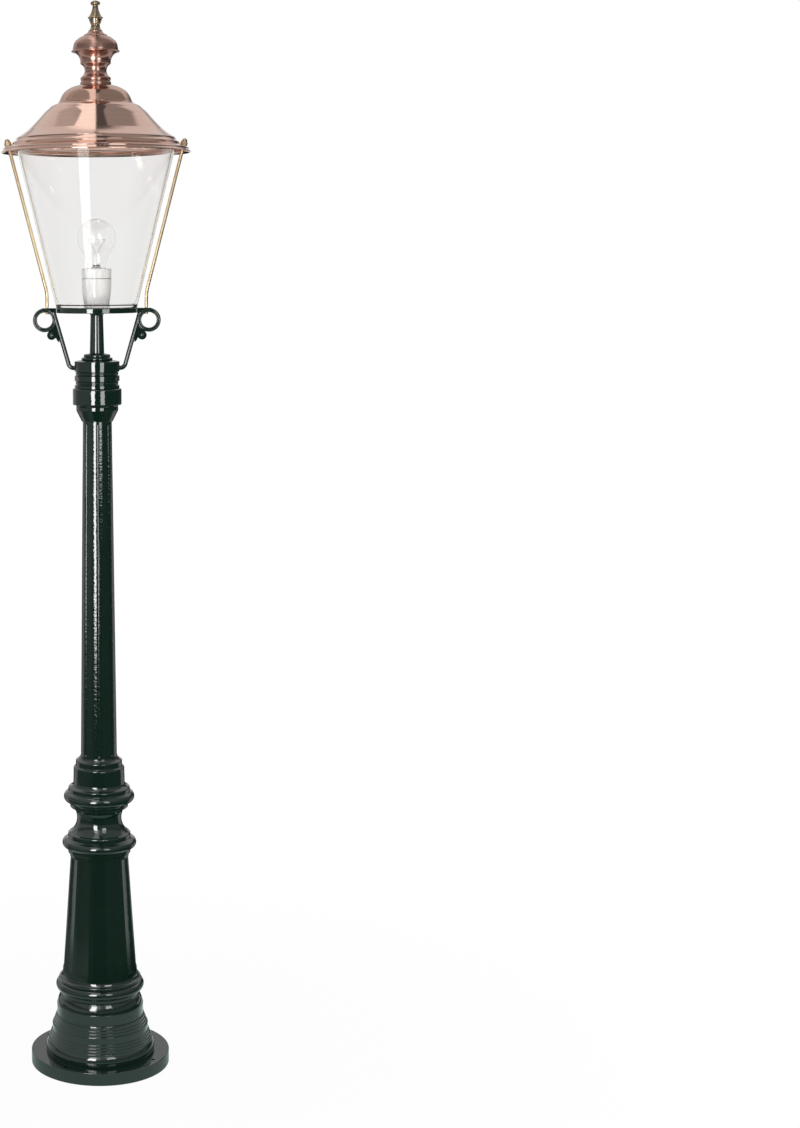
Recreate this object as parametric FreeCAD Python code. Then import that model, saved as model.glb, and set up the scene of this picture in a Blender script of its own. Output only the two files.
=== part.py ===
"""Garden lamp on a cast pedestal, with a clear cone lantern under a spun copper roof.

Frame: the origin is the centre of the foot's underside, +Z runs up the post, and the front is -Y.
All sizes are in millimetres. Each piece is written to its own file in parts/.
"""

import math
import os

import FreeCAD
import Part

# Clearances
FIT = 0.03
RUN_CLEARANCE = 0.06
SEAT_GAP = 0.05
END_GAP = 1.5
ROOF_GAP = 0.3
ROD_CLEARANCE = 0.25
THREAD_GAP = 0.07
SCREW_GAP = 0.4

# Foot and plinth
PLINTH_R = 85.0
FLANGE_W = 27.8
FOOT_T = 20.5
FOOT_HOLE_R = 3.0
FOOT_HOLE_INSET = 11.3
FOOT_HOLE_COUNT = 4
FOOT_HOLE_FIRST = 147.0
SKIRT_H = 16.0
BEAD_H = 4.5
BEAD_IN = 1.65
LOW_BEAD_COUNT = 4
HIGH_BEAD_COUNT = 3
BAND_H = 12.5
DRUM_R = 70.4
DRUM_H = 19.7
SHOULDER_H = 14.4
NECKING_H = 8.2
TORUS_H = 16.4
TORUS_OUT = 6.1
COVE_H = 12.8
CAST_WALL = 9.2

# Fluted trunk
TRUNK_R0 = 60.8
TRUNK_R1 = 47.2
TRUNK_L = 198.0
FLUTE_COUNT = 12
FLUTE_LAND = 7.0
FLUTE_SAG = 0.8
FLUTE_LOW = 7.0
FLUTE_HIGH = 3.0

# Turned neck over the trunk, up to the shaft's mouth
RING_BASE_H = 12.2
RING_H = 14.6
RING_OUT = 6.8
RING_TOP_H = 10.6
VASE_H = 35.2
VASE_IN = 6.0
CUP_H = 15.0
BULGE_H = 16.6
BULGE_OUT = 6.4
SLEEVE_FOOT_H = 15.8
SLEEVE_H = 23.4
MOUTH_H = 18.6

# Shaft
SHAFT_R0 = 29.0
SHAFT_R1 = 22.9
SHAFT_L = 538.5
SHAFT_WALL = 5.0
SHAFT_SHOULDER = 2.9
SHAFT_SPIGOT_L = 22.5
SOCKET_DEPTH = 82.0
SEAT_LEDGE = 7.0
GROOVE_COUNT = 8
GROOVE_W = 4.4
GROOVE_DEPTH = 1.3
GROOVE_MARGIN = 5.0

# Capital
CONE_H = 16.9
CAPITAL_NECK_H = 9.2
CAPITAL_BAND_H = 25.4
CAPITAL_LIP = 3.0

# Yoke
COLLAR_R = 35.4
COLLAR_WALL = 5.4
COLLAR_H = 42.5
COLLAR_ROOF = 7.0
STEM_R = 9.9
STEM_BORE_R = 5.0
STEM_H = 75.1
TRAY_R = 63.5
TRAY_T = 7.4
SCREW_R = 3.0
SCREW_H = 15.6
SCREW_SOCKET = 3.0
SCREW_COUNT = 3
EYE_HOLE_R = 12.0
EYE_RIM_W = 5.9
EYE_HALF_T = 4.2
EYE_OUT = 5.7
ARM_T = 6.8
ARM_W = 11.0
ARM_BEND_R = 8.5
WEB_T = 6.4
LUG_T = 10.0
PEARL_R = 5.6
PEARL_RIM = 1.6

# Lantern glass
SEAL_T = 1.2
GLASS_R1 = 124.5
GLASS_H = 251.4
GLASS_T = 3.6
GLASS_LIP = 6.0

# Tie rods and their dome nuts
ROD_R = 2.6
ROD_IN = 3.9
ROD_BEND_H = 23.5
ROD_BEND_R = 60.0
NUT_FLATS = 9.6
NUT_HEX_H = 4.8
NUT_OUT = 8.8

# Copper roof, chimney and spire
SHEET_T = 1.2
BRIM_W = 20.4
BELL_H = 51.8
CREASE_R = 57.2
DOME_H = 27.8
CHIMNEY_R = 23.9
CHIMNEY_H = 50.8
CHIMNEY_WALL = 2.8
RIM_R = 37.2
CAP_H = 29.0
SPIRE_R = 10.7
SPIRE_H = 46.0
STUD_R = 4.0
STUD_NUT_FLATS = 13.0

# Lamp holder
HOLDER_R = 23.2
HOLDER_FOOT_R = 18.7
HOLDER_FLOOR_T = 13.0
WIRE_ROOM_H = 9.0
HOLDER_LIP_H = 7.0
HOLDER_RING_H = 15.4
SHELL_T = 0.73
NIPPLE_WALL = 1.4
NIPPLE_DROP = 24.6

# Bulb
BULB_R = 30.0
BULB_RISE = 51.6
BULB_WALL = 0.8
CAP_CREST_R = 13.1
CAP_THREAD_DEPTH = 0.9
CAP_PITCH = 3.62
CAP_TURN_COUNT = 4
CONTACT_H = 9.6

# Heights that follow from the sizes above
BEADS_Z = FOOT_T + SKIRT_H
BAND_Z = BEADS_Z + LOW_BEAD_COUNT * BEAD_H
DRUM_Z = BAND_Z + BAND_H + HIGH_BEAD_COUNT * BEAD_H
SHOULDER_Z = DRUM_Z + DRUM_H
NECKING_Z = SHOULDER_Z + SHOULDER_H
TORUS_Z = NECKING_Z + NECKING_H
COVE_Z = TORUS_Z + TORUS_H
TRUNK_Z0 = COVE_Z + COVE_H
TRUNK_Z1 = TRUNK_Z0 + TRUNK_L
RING_Z = TRUNK_Z1 + RING_BASE_H
RING_TOP_Z = RING_Z + RING_H
VASE_Z = RING_TOP_Z + RING_TOP_H
CUP_Z = VASE_Z + VASE_H
BULGE_Z = CUP_Z + CUP_H
SLEEVE_FOOT_Z = BULGE_Z + BULGE_H
SLEEVE_Z = SLEEVE_FOOT_Z + SLEEVE_FOOT_H
MOUTH_Z = SLEEVE_Z + SLEEVE_H
SHAFT_MOUTH_Z = MOUTH_Z + MOUTH_H
SHAFT_SEAT_Z = SHAFT_MOUTH_Z - SOCKET_DEPTH
SHAFT_TOP_Z = SHAFT_MOUTH_Z + SHAFT_L
SHAFT_SPIGOT_Z = SHAFT_TOP_Z + SHAFT_SPIGOT_L
CAPITAL_BAND_Z = SHAFT_TOP_Z + CONE_H + CAPITAL_NECK_H
CAPITAL_TOP_Z = CAPITAL_BAND_Z + CAPITAL_BAND_H
COLLAR_Z = CAPITAL_TOP_Z + SEAT_GAP
COLLAR_TOP_Z = CAPITAL_TOP_Z + COLLAR_H
SPIGOT_TOP_Z = COLLAR_TOP_Z - COLLAR_ROOF - END_GAP
SCREW_Z = CAPITAL_TOP_Z + SCREW_H
TRAY_Z0 = COLLAR_TOP_Z + STEM_H
TRAY_Z1 = TRAY_Z0 + TRAY_T
GLASS_Z = TRAY_Z1 + SEAL_T
GLASS_TOP_Z = GLASS_Z + GLASS_H
STEP_Z = GLASS_TOP_Z + SHEET_T - 0.4
BELL_Z = STEP_Z + 6.2
CREASE_Z = BELL_Z + BELL_H
DOME_TOP_Z = CREASE_Z + DOME_H
RIM_Z = DOME_TOP_Z + CHIMNEY_H
CAP_TOP_Z = RIM_Z + CAP_H
SPIRE_TOP_Z = CAP_TOP_Z + SPIRE_H
SHELL_Z0 = TRAY_Z1 + HOLDER_FLOOR_T + WIRE_ROOM_H
CONTACT_Z = SHELL_Z0 + CONTACT_H
THREAD_Z = CONTACT_Z + 7.0
NECK_Z = THREAD_Z + CAP_TURN_COUNT * CAP_PITCH + 2.92
SHELL_Z1 = NECK_Z - 2.0
HOLDER_TOP_Z = SHELL_Z1 + HOLDER_LIP_H
HOLDER_SEAM_Z = HOLDER_TOP_Z - HOLDER_RING_H
BULB_Z = NECK_Z + BULB_RISE

# Radii and places that follow from the sizes above
FOOT_R = PLINTH_R + FLANGE_W
SHAFT_SPIGOT_R = SHAFT_R1 - SHAFT_SHOULDER
SHAFT_BORE_R = SHAFT_SPIGOT_R - SHAFT_WALL
SPIGOT_R = COLLAR_R - COLLAR_WALL
CAPITAL_R = COLLAR_R + CAPITAL_LIP
EYE_X = TRAY_R + EYE_OUT + EYE_HOLE_R
EYE_Z = TRAY_Z0 + 0.7 - EYE_HOLE_R
EYE_R = EYE_HOLE_R + EYE_RIM_W
PEARL_X = EYE_X - 10.7
PEARL_Z = EYE_Z - 11.3 - EYE_HOLE_R
GLASS_R0 = TRAY_R - 0.1
STEP_R = GLASS_R1 + ROOF_GAP + SHEET_T
ROD_X = EYE_X - ROD_IN
ROD_BEND_Z = TRAY_Z1 + ROD_BEND_H
NUT_X = STEP_R + NUT_OUT
NUT_Z = STEP_Z - 5.8
CHIMNEY_CAP_R = RIM_R - 2.2
SHELL_BORE_R = CAP_CREST_R + THREAD_GAP
SHELL_R = SHELL_BORE_R + SHELL_T
NECK_R = CAP_CREST_R - 0.1


def point(r, z):
    """Returns the point at radius r and height z in the X-Z plane."""
    return FreeCAD.Vector(r, 0, z)


def spin(shape, degrees):
    """Returns a copy of shape turned about the post's axis."""
    copy = shape.copy()
    copy.rotate(FreeCAD.Vector(0, 0, 0), FreeCAD.Vector(0, 0, 1), degrees)
    return copy


def mirrored(shape):
    """Returns a copy of shape on the other side of the Y-Z plane."""
    return shape.mirror(FreeCAD.Vector(0, 0, 0), FreeCAD.Vector(1, 0, 0))


def ring(r0, r1, z0, z1):
    """Returns a plain tube from z0 to z1 with inner radius r0 and outer radius r1."""
    axis = FreeCAD.Vector(0, 0, 1)
    tube = Part.makeCylinder(r1, z1 - z0, FreeCAD.Vector(0, 0, z0), axis)
    return tube.cut(Part.makeCylinder(r0, z1 - z0 + 2, FreeCAD.Vector(0, 0, z0 - 1), axis))


class Path:
    """An open line of straight and bowed stretches at (radius, height) points.

    Each step is (r, z) for a straight stretch, or (r, z, bow) for an arc whose middle stands bow
    away from its chord, to the right of travel when positive.
    """

    def __init__(self, r, z):
        self.here = (r, z)
        self.steps = []

    def to(self, *steps):
        """Adds steps and returns the path."""
        for step in steps:
            bow = step[2] if len(step) > 2 else 0.0
            self.steps.append((self.here, (step[0], step[1]), bow))
            self.here = (step[0], step[1])
        return self

    def on(self, r, z, *steps):
        """Adds steps that are measured from radius r and height z, and returns the path."""
        return self.to(*[(r + step[0], z + step[1], *step[2:]) for step in steps])

    def edges(self):
        """Returns the path's edges."""
        return [edge(a, b, bow) for a, b, bow in self.steps]

    def inset(self, depth):
        """Returns the path moved to the left of travel by depth, running back to its start."""
        lefts = []
        for index in range(len(self.steps) + 1):
            before = self.steps[index - 1] if index > 0 else self.steps[0]
            after = self.steps[index] if index < len(self.steps) else self.steps[-1]
            first = heading(before, index > 0)
            last = heading(after, index == len(self.steps))
            left = (-first[1] - last[1], first[0] + last[0])
            size = math.hypot(*left)
            reach = depth / max(0.35, size / 2)
            lefts.append((left[0] / size * reach, left[1] / size * reach))
        corners = [self.steps[0][0]] + [step[1] for step in self.steps]
        moved = [(c[0] + v[0], c[1] + v[1]) for c, v in zip(corners, lefts)]
        back = Path(*moved[-1])
        for index in range(len(self.steps) - 1, -1, -1):
            a, b, bow = self.steps[index]
            chord = math.hypot(b[0] - a[0], b[1] - a[1])
            inner = math.hypot(moved[index + 1][0] - moved[index][0], moved[index + 1][1] - moved[index][1])
            back.to((*moved[index], -bow * inner / chord))
        return back


def edge(a, b, bow):
    """Returns the line from a to b, or the arc that stands bow to its right."""
    if abs(bow) < 1e-6:
        return Part.makeLine(point(*a), point(*b))
    chord = math.hypot(b[0] - a[0], b[1] - a[1])
    mid_r = (a[0] + b[0]) / 2 + bow * (b[1] - a[1]) / chord
    mid_z = (a[1] + b[1]) / 2 - bow * (b[0] - a[0]) / chord
    return Part.Arc(point(*a), point(mid_r, mid_z), point(*b)).toShape()


def heading(step, at_end):
    """Returns the unit direction of travel at one end of a step."""
    (ar, az), (br, bz), bow = step
    chord = math.hypot(br - ar, bz - az)
    turn = 2 * math.atan(2 * bow / chord) * (1 if at_end else -1)
    ur, uz = (br - ar) / chord, (bz - az) / chord
    return (ur * math.cos(turn) - uz * math.sin(turn), ur * math.sin(turn) + uz * math.cos(turn))


def crown(r, height):
    """Returns the bow of an arc from radius r to the axis that makes a round cap of this height."""
    radius = (r * r + height * height) / (2 * height)
    return radius - math.sqrt(radius * radius - (r * r + height * height) / 4)


def turned(path):
    """Returns the solid turned about Z from a path, closed with a straight line."""
    edges = path.edges()
    start = path.steps[0][0]
    if math.hypot(start[0] - path.here[0], start[1] - path.here[1]) > 1e-6:
        edges.append(Part.makeLine(point(*path.here), point(*start)))
    face = Part.Face(Part.Wire(edges))
    return face.revolve(FreeCAD.Vector(0, 0, 0), FreeCAD.Vector(0, 0, 1), 360)


def spun(path, thickness):
    """Returns the sheet whose outer face follows path and whose thickness is on the left of travel."""
    back = path.inset(thickness)
    join = Part.makeLine(point(*path.here), point(*back.steps[0][0]))
    close = Part.makeLine(point(*back.here), point(*path.steps[0][0]))
    face = Part.Face(Part.Wire(path.edges() + [join] + back.edges() + [close]))
    return face.revolve(FreeCAD.Vector(0, 0, 0), FreeCAD.Vector(0, 0, 1), 360)


def bar_along(wire, section):
    """Returns the solid made by carrying a closed section along a smooth wire."""
    return wire.makePipeShell([section], True, False)


def hexagon(flats, height, centre, axis):
    """Returns a hexagonal prism of the given width across flats."""
    corner = flats / math.sqrt(3)
    corners = []
    for index in range(7):
        angle = math.radians(60 * index)
        corners.append(FreeCAD.Vector(corner * math.cos(angle), corner * math.sin(angle), 0))
    prism = Part.Face(Part.makePolygon(corners)).extrude(FreeCAD.Vector(0, 0, height))
    turn = FreeCAD.Rotation(FreeCAD.Vector(0, 0, 1), axis)
    prism.Placement = FreeCAD.Placement(centre, turn)
    return prism


def add_beads(path, count):
    """Adds a flight of small rounded steps to a path, each going up and in."""
    for _ in range(count):
        path.on(
            *path.here,
            (0, BEAD_H - 1.8),
            (-1.05, BEAD_H - 0.6, 0.35),
            (-BEAD_IN, BEAD_H),
        )


def add_plinth(path):
    """Adds the foot flange and the stacked mouldings below the trunk to a path."""
    path.on(FOOT_R, FOOT_T, (0, -1.0), (-1.0, 0, 0.3), (2.8 - FLANGE_W, 0))
    path.to((PLINTH_R, BEADS_Z, 2.2))
    add_beads(path, LOW_BEAD_COUNT)
    path.on(*path.here, (-0.2, BAND_H - 2.9), (-1.8, BAND_H - 0.6, 0.7), (-2.5, BAND_H))
    add_beads(path, HIGH_BEAD_COUNT)
    path.on(DRUM_R, DRUM_Z, (0.2, 3.5, -0.5), (0, DRUM_H - 1.6), (-0.8, DRUM_H, 0.4))
    path.on(
        TRUNK_R0, NECKING_Z,
        (3.8, 0, 1.0),
        (3.4, 1.4, 0.2),
        (2.2, 2.6),
        (2.2, NECKING_H - 1.8),
        (4.8, NECKING_H),
    )
    path.on(
        TRUNK_R0, COVE_Z,
        (4.8, 0, TORUS_OUT),
        (6.1, 1.2),
        (6.1, 3.0),
        (4.8, 4.8, 0.5),
        (1.2, 8.0, -0.6),
        (0, COVE_H, -0.4),
    )


def add_neck(path):
    """Adds the turned rings, vase, cup and sleeve over the trunk to a path."""
    path.on(TRUNK_R1, TRUNK_Z1, (0, 0), (0, 2.0), (3.0, 3.4, -0.2), (3.2, RING_BASE_H - 1.6, 0.3))
    path.on(
        TRUNK_R1, RING_Z,
        (5.8, 0),
        (5.8, RING_H, RING_OUT),
        (3.2, RING_H + 1.6),
        (3.2, RING_H + 7.0),
        (1.6, RING_H + 9.6, 0.6),
        (-0.6, RING_H + RING_TOP_H),
    )
    path.on(
        SHAFT_R0, CUP_Z,
        (9.4, 0, -VASE_IN),
        (10.6, 1.8),
        (16.6, 6.0, -0.6),
        (17.6, 7.4, 0.3),
        (17.6, CUP_H - 3.2),
        (21.4, CUP_H, -0.4),
        (21.6, CUP_H + BULGE_H, BULGE_OUT),
    )
    path.on(
        SHAFT_R0, SLEEVE_FOOT_Z,
        (20.6, 1.2),
        (20.6, 5.8),
        (19.0, 7.8, 0.5),
        (17.4, 8.6),
        (12.4, SLEEVE_FOOT_H, -1.4),
        (11.8, SLEEVE_FOOT_H + SLEEVE_H),
    )
    path.on(
        SHAFT_R0, MOUTH_Z,
        (10.4, 2.0, 0.5),
        (9.0, 2.8),
        (8.2, 4.0),
        (8.2, MOUTH_H - 8.4),
        (6.6, MOUTH_H - 5.6, 0.8),
        (2.0, MOUTH_H - 1.4, -0.7),
        (1.6, MOUTH_H, 0.1),
    )


def make_pedestal():
    """Foot flange, stacked mouldings, fluted trunk, turned neck and the shaft's socket in one casting."""
    path = Path(FOOT_R, 0)
    add_plinth(path)
    add_neck(path)
    path.to(
        (SHAFT_R0 + FIT, SHAFT_MOUTH_Z),
        (SHAFT_R0 + FIT, SHAFT_SEAT_Z),
        (SHAFT_R0 - SEAT_LEDGE, SHAFT_SEAT_Z),
        (SHAFT_R0 - SEAT_LEDGE, VASE_Z + 10.6),
        (TRUNK_R1 - CAST_WALL, TRUNK_Z1 - 8.0),
        (TRUNK_R0 - CAST_WALL, TRUNK_Z0 + 8.0),
        (TRUNK_R0 - CAST_WALL, NECKING_Z),
        (DRUM_R - CAST_WALL, SHOULDER_Z - 4.0),
        (PLINTH_R - CAST_WALL - 2.0, FOOT_T + 3.5),
        (PLINTH_R - CAST_WALL, 0),
    )
    body = turned(path)
    for index in range(FLUTE_COUNT):
        body = body.cut(spin(flute_cutter(), -90 + index * 360 / FLUTE_COUNT))
    hole = Part.makeCylinder(FOOT_HOLE_R, FOOT_T + 2, FreeCAD.Vector(FOOT_R - FOOT_HOLE_INSET, 0, -1))
    for index in range(FOOT_HOLE_COUNT):
        body = body.cut(spin(hole, FOOT_HOLE_FIRST + index * 360 / FOOT_HOLE_COUNT))
    return body


def flute_cutter():
    """Returns the tapered round cutter of one shallow flute, on the +X side."""
    half_angle = math.radians(180 / FLUTE_COUNT - FLUTE_LAND / 2)
    wires = []
    for z in (TRUNK_Z0 + FLUTE_LOW, TRUNK_Z1 - FLUTE_HIGH):
        surface = TRUNK_R0 + (TRUNK_R1 - TRUNK_R0) * (z - TRUNK_Z0) / TRUNK_L
        half = surface * math.sin(half_angle)
        radius = (half * half + FLUTE_SAG * FLUTE_SAG) / (2 * FLUTE_SAG)
        centre = FreeCAD.Vector(surface * math.cos(half_angle) - FLUTE_SAG + radius, 0, z)
        circle = Part.makeCircle(radius, centre, FreeCAD.Vector(0, 0, 1))
        wires.append(Part.Wire([circle]))
    return Part.makeLoft(wires, True, True)


def make_shaft():
    """Tapered tube with narrow lengthwise grooves, a plain foot in the socket and a spigot on top."""
    path = Path(SHAFT_R0, SHAFT_SEAT_Z).to(
        (SHAFT_R0, SHAFT_MOUTH_Z),
        (SHAFT_R1, SHAFT_TOP_Z),
        (SHAFT_SPIGOT_R, SHAFT_TOP_Z),
        (SHAFT_SPIGOT_R, SHAFT_SPIGOT_Z),
        (SHAFT_BORE_R, SHAFT_SPIGOT_Z),
        (SHAFT_BORE_R, SHAFT_SEAT_Z),
    )
    body = turned(path)
    half = GROOVE_W / 2
    cutter_r = (half * half + GROOVE_DEPTH * GROOVE_DEPTH) / (2 * GROOVE_DEPTH)
    taper = (SHAFT_R1 - SHAFT_R0) / SHAFT_L
    out = cutter_r - GROOVE_DEPTH
    low = point(SHAFT_R0 + taper * GROOVE_MARGIN + out, SHAFT_MOUTH_Z + GROOVE_MARGIN)
    high = point(SHAFT_R1 - taper * GROOVE_MARGIN + out, SHAFT_TOP_Z - GROOVE_MARGIN)
    run = high.sub(low)
    cutter = Part.makeCylinder(cutter_r, run.Length, low, run)
    cutter = cutter.fuse([Part.makeSphere(cutter_r, low), Part.makeSphere(cutter_r, high)])
    for index in range(GROOVE_COUNT):
        body = body.cut(spin(cutter, -90 + index * 360 / GROOVE_COUNT))
    return body


def make_capital():
    """Cone, neck and banded top with the round spigot that the lantern's collar turns on."""
    path = Path(SHAFT_R1 + 1.6, SHAFT_TOP_Z).to((SHAFT_R1 + 2.0, SHAFT_TOP_Z + 1.1, 0.15))
    path.on(
        CAPITAL_R, CAPITAL_BAND_Z,
        (-5.6, -CAPITAL_NECK_H),
        (-5.2, 1.4 - CAPITAL_NECK_H, 0.12),
        (-5.2, -3.4),
        (-5.8, -2.6),
        (-5.4, -1.2),
        (-1.8, 0),
        (0, 1.8, 0.5),
        (0, CAPITAL_BAND_H - 2.2),
        (-1.8, CAPITAL_BAND_H, 0.5),
    )
    path.to(
        (SPIGOT_R, CAPITAL_TOP_Z),
        (SPIGOT_R, SPIGOT_TOP_Z - 1.0),
        (SPIGOT_R - 1.0, SPIGOT_TOP_Z),
        (SHAFT_BORE_R, SPIGOT_TOP_Z),
        (SHAFT_BORE_R, SHAFT_SPIGOT_Z),
        (SHAFT_SPIGOT_R + FIT, SHAFT_SPIGOT_Z),
        (SHAFT_SPIGOT_R + FIT, SHAFT_TOP_Z),
    )
    return turned(path)


def arm_bar():
    """Returns the bent bar of the right arm, from the collar up to the tray."""
    start = point(COLLAR_R - 3.4, COLLAR_TOP_Z - 10.5)
    corner = point(COLLAR_R + 7.2, COLLAR_TOP_Z - 10.5)
    end = point(EYE_X - 14.0, TRAY_Z0 + 1.0)
    lean = end.sub(corner)
    lean.normalize()
    half_turn = math.atan2(lean.z, lean.x) / 2
    reach = ARM_BEND_R * math.tan(half_turn)
    bend_in = corner.sub(FreeCAD.Vector(reach, 0, 0))
    bend_out = corner.add(lean * reach)
    centre = bend_in.add(FreeCAD.Vector(0, 0, ARM_BEND_R))
    middle = centre.add(FreeCAD.Vector(math.sin(half_turn), 0, -math.cos(half_turn)) * ARM_BEND_R)
    wire = Part.Wire([
        Part.makeLine(start, bend_in),
        Part.Arc(bend_in, middle, bend_out).toShape(),
        Part.makeLine(bend_out, end),
    ])
    half_t, half_w = ARM_T / 2, ARM_W / 2
    flat = half_w - half_t
    low = FreeCAD.Vector(start.x, -flat, start.z)
    high = FreeCAD.Vector(start.x, flat, start.z)
    down = FreeCAD.Vector(0, 0, -half_t)
    up = FreeCAD.Vector(0, 0, half_t)
    section = Part.Wire([
        Part.makeLine(low.add(down), high.add(down)),
        Part.Arc(high.add(down), high.add(FreeCAD.Vector(0, half_t, 0)), high.add(up)).toShape(),
        Part.makeLine(high.add(up), low.add(up)),
        Part.Arc(low.add(up), low.sub(FreeCAD.Vector(0, half_t, 0)), low.add(down)).toShape(),
    ])
    return bar_along(wire, section)


def plate(path, thickness):
    """Returns a flat plate in the X-Z plane, centred on Y, from a closed path."""
    face = Part.Face(Part.Wire(path.edges()))
    solid = face.extrude(FreeCAD.Vector(0, thickness, 0))
    solid.translate(FreeCAD.Vector(0, -thickness / 2, 0))
    return solid


def make_arm():
    """Returns the right arm: bar, web, moulded eye, pearl and the lug that carries the tray."""
    web = Path(EYE_X - 23.0, EYE_Z - EYE_HOLE_R - 22.3).on(
        EYE_X, EYE_Z - EYE_HOLE_R,
        (-17.7, -15.7, 1.2),
        (-10.7, -16.3),
        (-6.7, -5.8),
        (4.8, -3.3),
    ).on(
        EYE_X, TRAY_Z0,
        (4.8, -7.6),
        (-17.2, 1.4),
    ).to((EYE_X - 23.0, EYE_Z - EYE_HOLE_R - 22.3))
    lug = Path(TRAY_R - 5.5, TRAY_Z0).on(
        EYE_X, TRAY_Z0,
        (-15.2, 0),
        (-10.2, -4.6),
        (8.8, -4.6),
        (13.8, -0.8),
        (3.4, TRAY_T, 0.4),
    ).to((TRAY_R - 5.5, TRAY_Z1), (TRAY_R - 5.5, TRAY_Z0))
    middle = EYE_HOLE_R + EYE_RIM_W * 0.49
    rim = Path(EYE_HOLE_R, -EYE_HALF_T).to(
        (middle, -EYE_HALF_T, 1.3),
        (EYE_R, -EYE_HALF_T, 1.3),
        (EYE_R, EYE_HALF_T, 0.7),
        (middle, EYE_HALF_T, 1.3),
        (EYE_HOLE_R, EYE_HALF_T, 1.3),
    )
    eye = turned(rim)
    eye.rotate(FreeCAD.Vector(0, 0, 0), FreeCAD.Vector(1, 0, 0), 90)
    eye.translate(FreeCAD.Vector(EYE_X, 0, EYE_Z))
    across = FreeCAD.Vector(0, 1, 0)
    boss_half = WEB_T / 2 + 0.8
    boss_foot = FreeCAD.Vector(PEARL_X, -boss_half, PEARL_Z)
    boss = Part.makeCylinder(PEARL_R + PEARL_RIM, 2 * boss_half, boss_foot, across)
    pearl = Part.makeSphere(PEARL_R, point(PEARL_X, PEARL_Z))
    hole = Part.makeCylinder(EYE_HOLE_R, 40, FreeCAD.Vector(EYE_X, -20, EYE_Z), across)
    arm = arm_bar().fuse([plate(web, WEB_T), plate(lug, LUG_T), boss]).cut(hole)
    arm = arm.fuse([eye, pearl])
    top = Part.makeBox(2 * EYE_X, 40, 30, FreeCAD.Vector(0, -20, TRAY_Z1))
    return arm.cut(top)


def make_yoke():
    """Collar, stem, tray and both arms in one casting."""
    bore = SPIGOT_R + RUN_CLEARANCE
    bore_top = SPIGOT_TOP_Z + END_GAP
    path = Path(bore, COLLAR_Z).on(COLLAR_R, COLLAR_Z, (-0.8, 0), (-0.2, 0.8, 0.15))
    for low in (SCREW_Z - 10.6, SCREW_Z + 4.2):
        path.on(
            COLLAR_R, low,
            (-0.2, 0),
            (-2.4, 1.6, -0.2),
            (-2.4, 2.4),
            (-1.6, 3.9, 0.25),
            (-2.4, 5.3, 0.25),
            (-2.4, 5.7),
            (-0.1, 7.0, -0.2),
        )
    path.on(COLLAR_R, COLLAR_TOP_Z, (0, -0.8), (-0.8, 0, 0.25))
    path.on(
        STEM_R, COLLAR_TOP_Z,
        (14.1, 2.1),
        (14.1, 5.1, 0.6),
        (11.6, 6.1),
        (10.7, 6.9, -0.2),
        (10.5, 10.1, 0.5),
        (8.7, 11.1),
        (1.5, 12.7, -0.4),
    )
    path.on(STEM_R, TRAY_Z0, (0, -5.6), (3.1, 0, -0.9))
    path.on(TRAY_R, TRAY_Z0, (-0.8, 0), (0, 0.8, 0.2), (0, TRAY_T - 0.8), (-0.8, TRAY_T, 0.2))
    path.to((STEM_BORE_R, TRAY_Z1), (STEM_BORE_R, bore_top), (bore, bore_top))
    body = turned(path)
    arm = make_arm()
    body = body.fuse([arm, mirrored(arm)])
    body = body.cut(Part.makeCylinder(bore, bore_top - COLLAR_Z, point(0, COLLAR_Z)))
    screw_hole = Part.makeCylinder(SCREW_R + FIT, COLLAR_WALL + 6, point(SPIGOT_R - 5, SCREW_Z), point(1, 0))
    for index in range(SCREW_COUNT):
        body = body.cut(spin(screw_hole, 90 + index * 360 / SCREW_COUNT))
    rod_hole = Part.makeCylinder(ROD_R + FIT, TRAY_T + 12, point(ROD_X, TRAY_Z0 - 7.6))
    body = body.cut(rod_hole)
    return body.cut(mirrored(rod_hole)).removeSplitter()


def make_collar_screws():
    """Three grub screws with hexagon sockets, tips just clear of the spigot."""
    axis = point(1, 0)
    tip = SPIGOT_R + SCREW_GAP
    head = COLLAR_R - 0.3
    screw = Part.makeCylinder(SCREW_R, head - tip, point(tip, SCREW_Z), axis)
    screw = screw.cut(hexagon(SCREW_SOCKET, 3.0, point(head - 2.6, SCREW_Z), axis))
    screws = [spin(screw, 90 + index * 360 / SCREW_COUNT) for index in range(SCREW_COUNT)]
    return Part.makeCompound(screws)


def make_glass():
    """Clear cone with a thick foot ring, open at both ends."""
    lean = (GLASS_R1 - GLASS_R0) / GLASS_H
    path = Path(GLASS_R0 - GLASS_LIP, GLASS_Z).to(
        (GLASS_R0 - 0.6, GLASS_Z),
        (GLASS_R0, GLASS_Z + 0.6, 0.15),
        (GLASS_R0 + 3.6 * lean, GLASS_Z + 3.6),
        (GLASS_R1, GLASS_TOP_Z),
        (GLASS_R1 - GLASS_T, GLASS_TOP_Z),
        (GLASS_R0 + 5.0 * lean - GLASS_T - 0.6, GLASS_Z + 5.0),
        (GLASS_R0 - GLASS_LIP, GLASS_Z + 3.6, -0.4),
    )
    return turned(path)


def rod_lean():
    """Returns the direction of the leaning stretch of the right tie rod."""
    lean = point(NUT_X - ROD_X, NUT_Z - ROD_BEND_Z)
    lean.normalize()
    return lean


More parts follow.
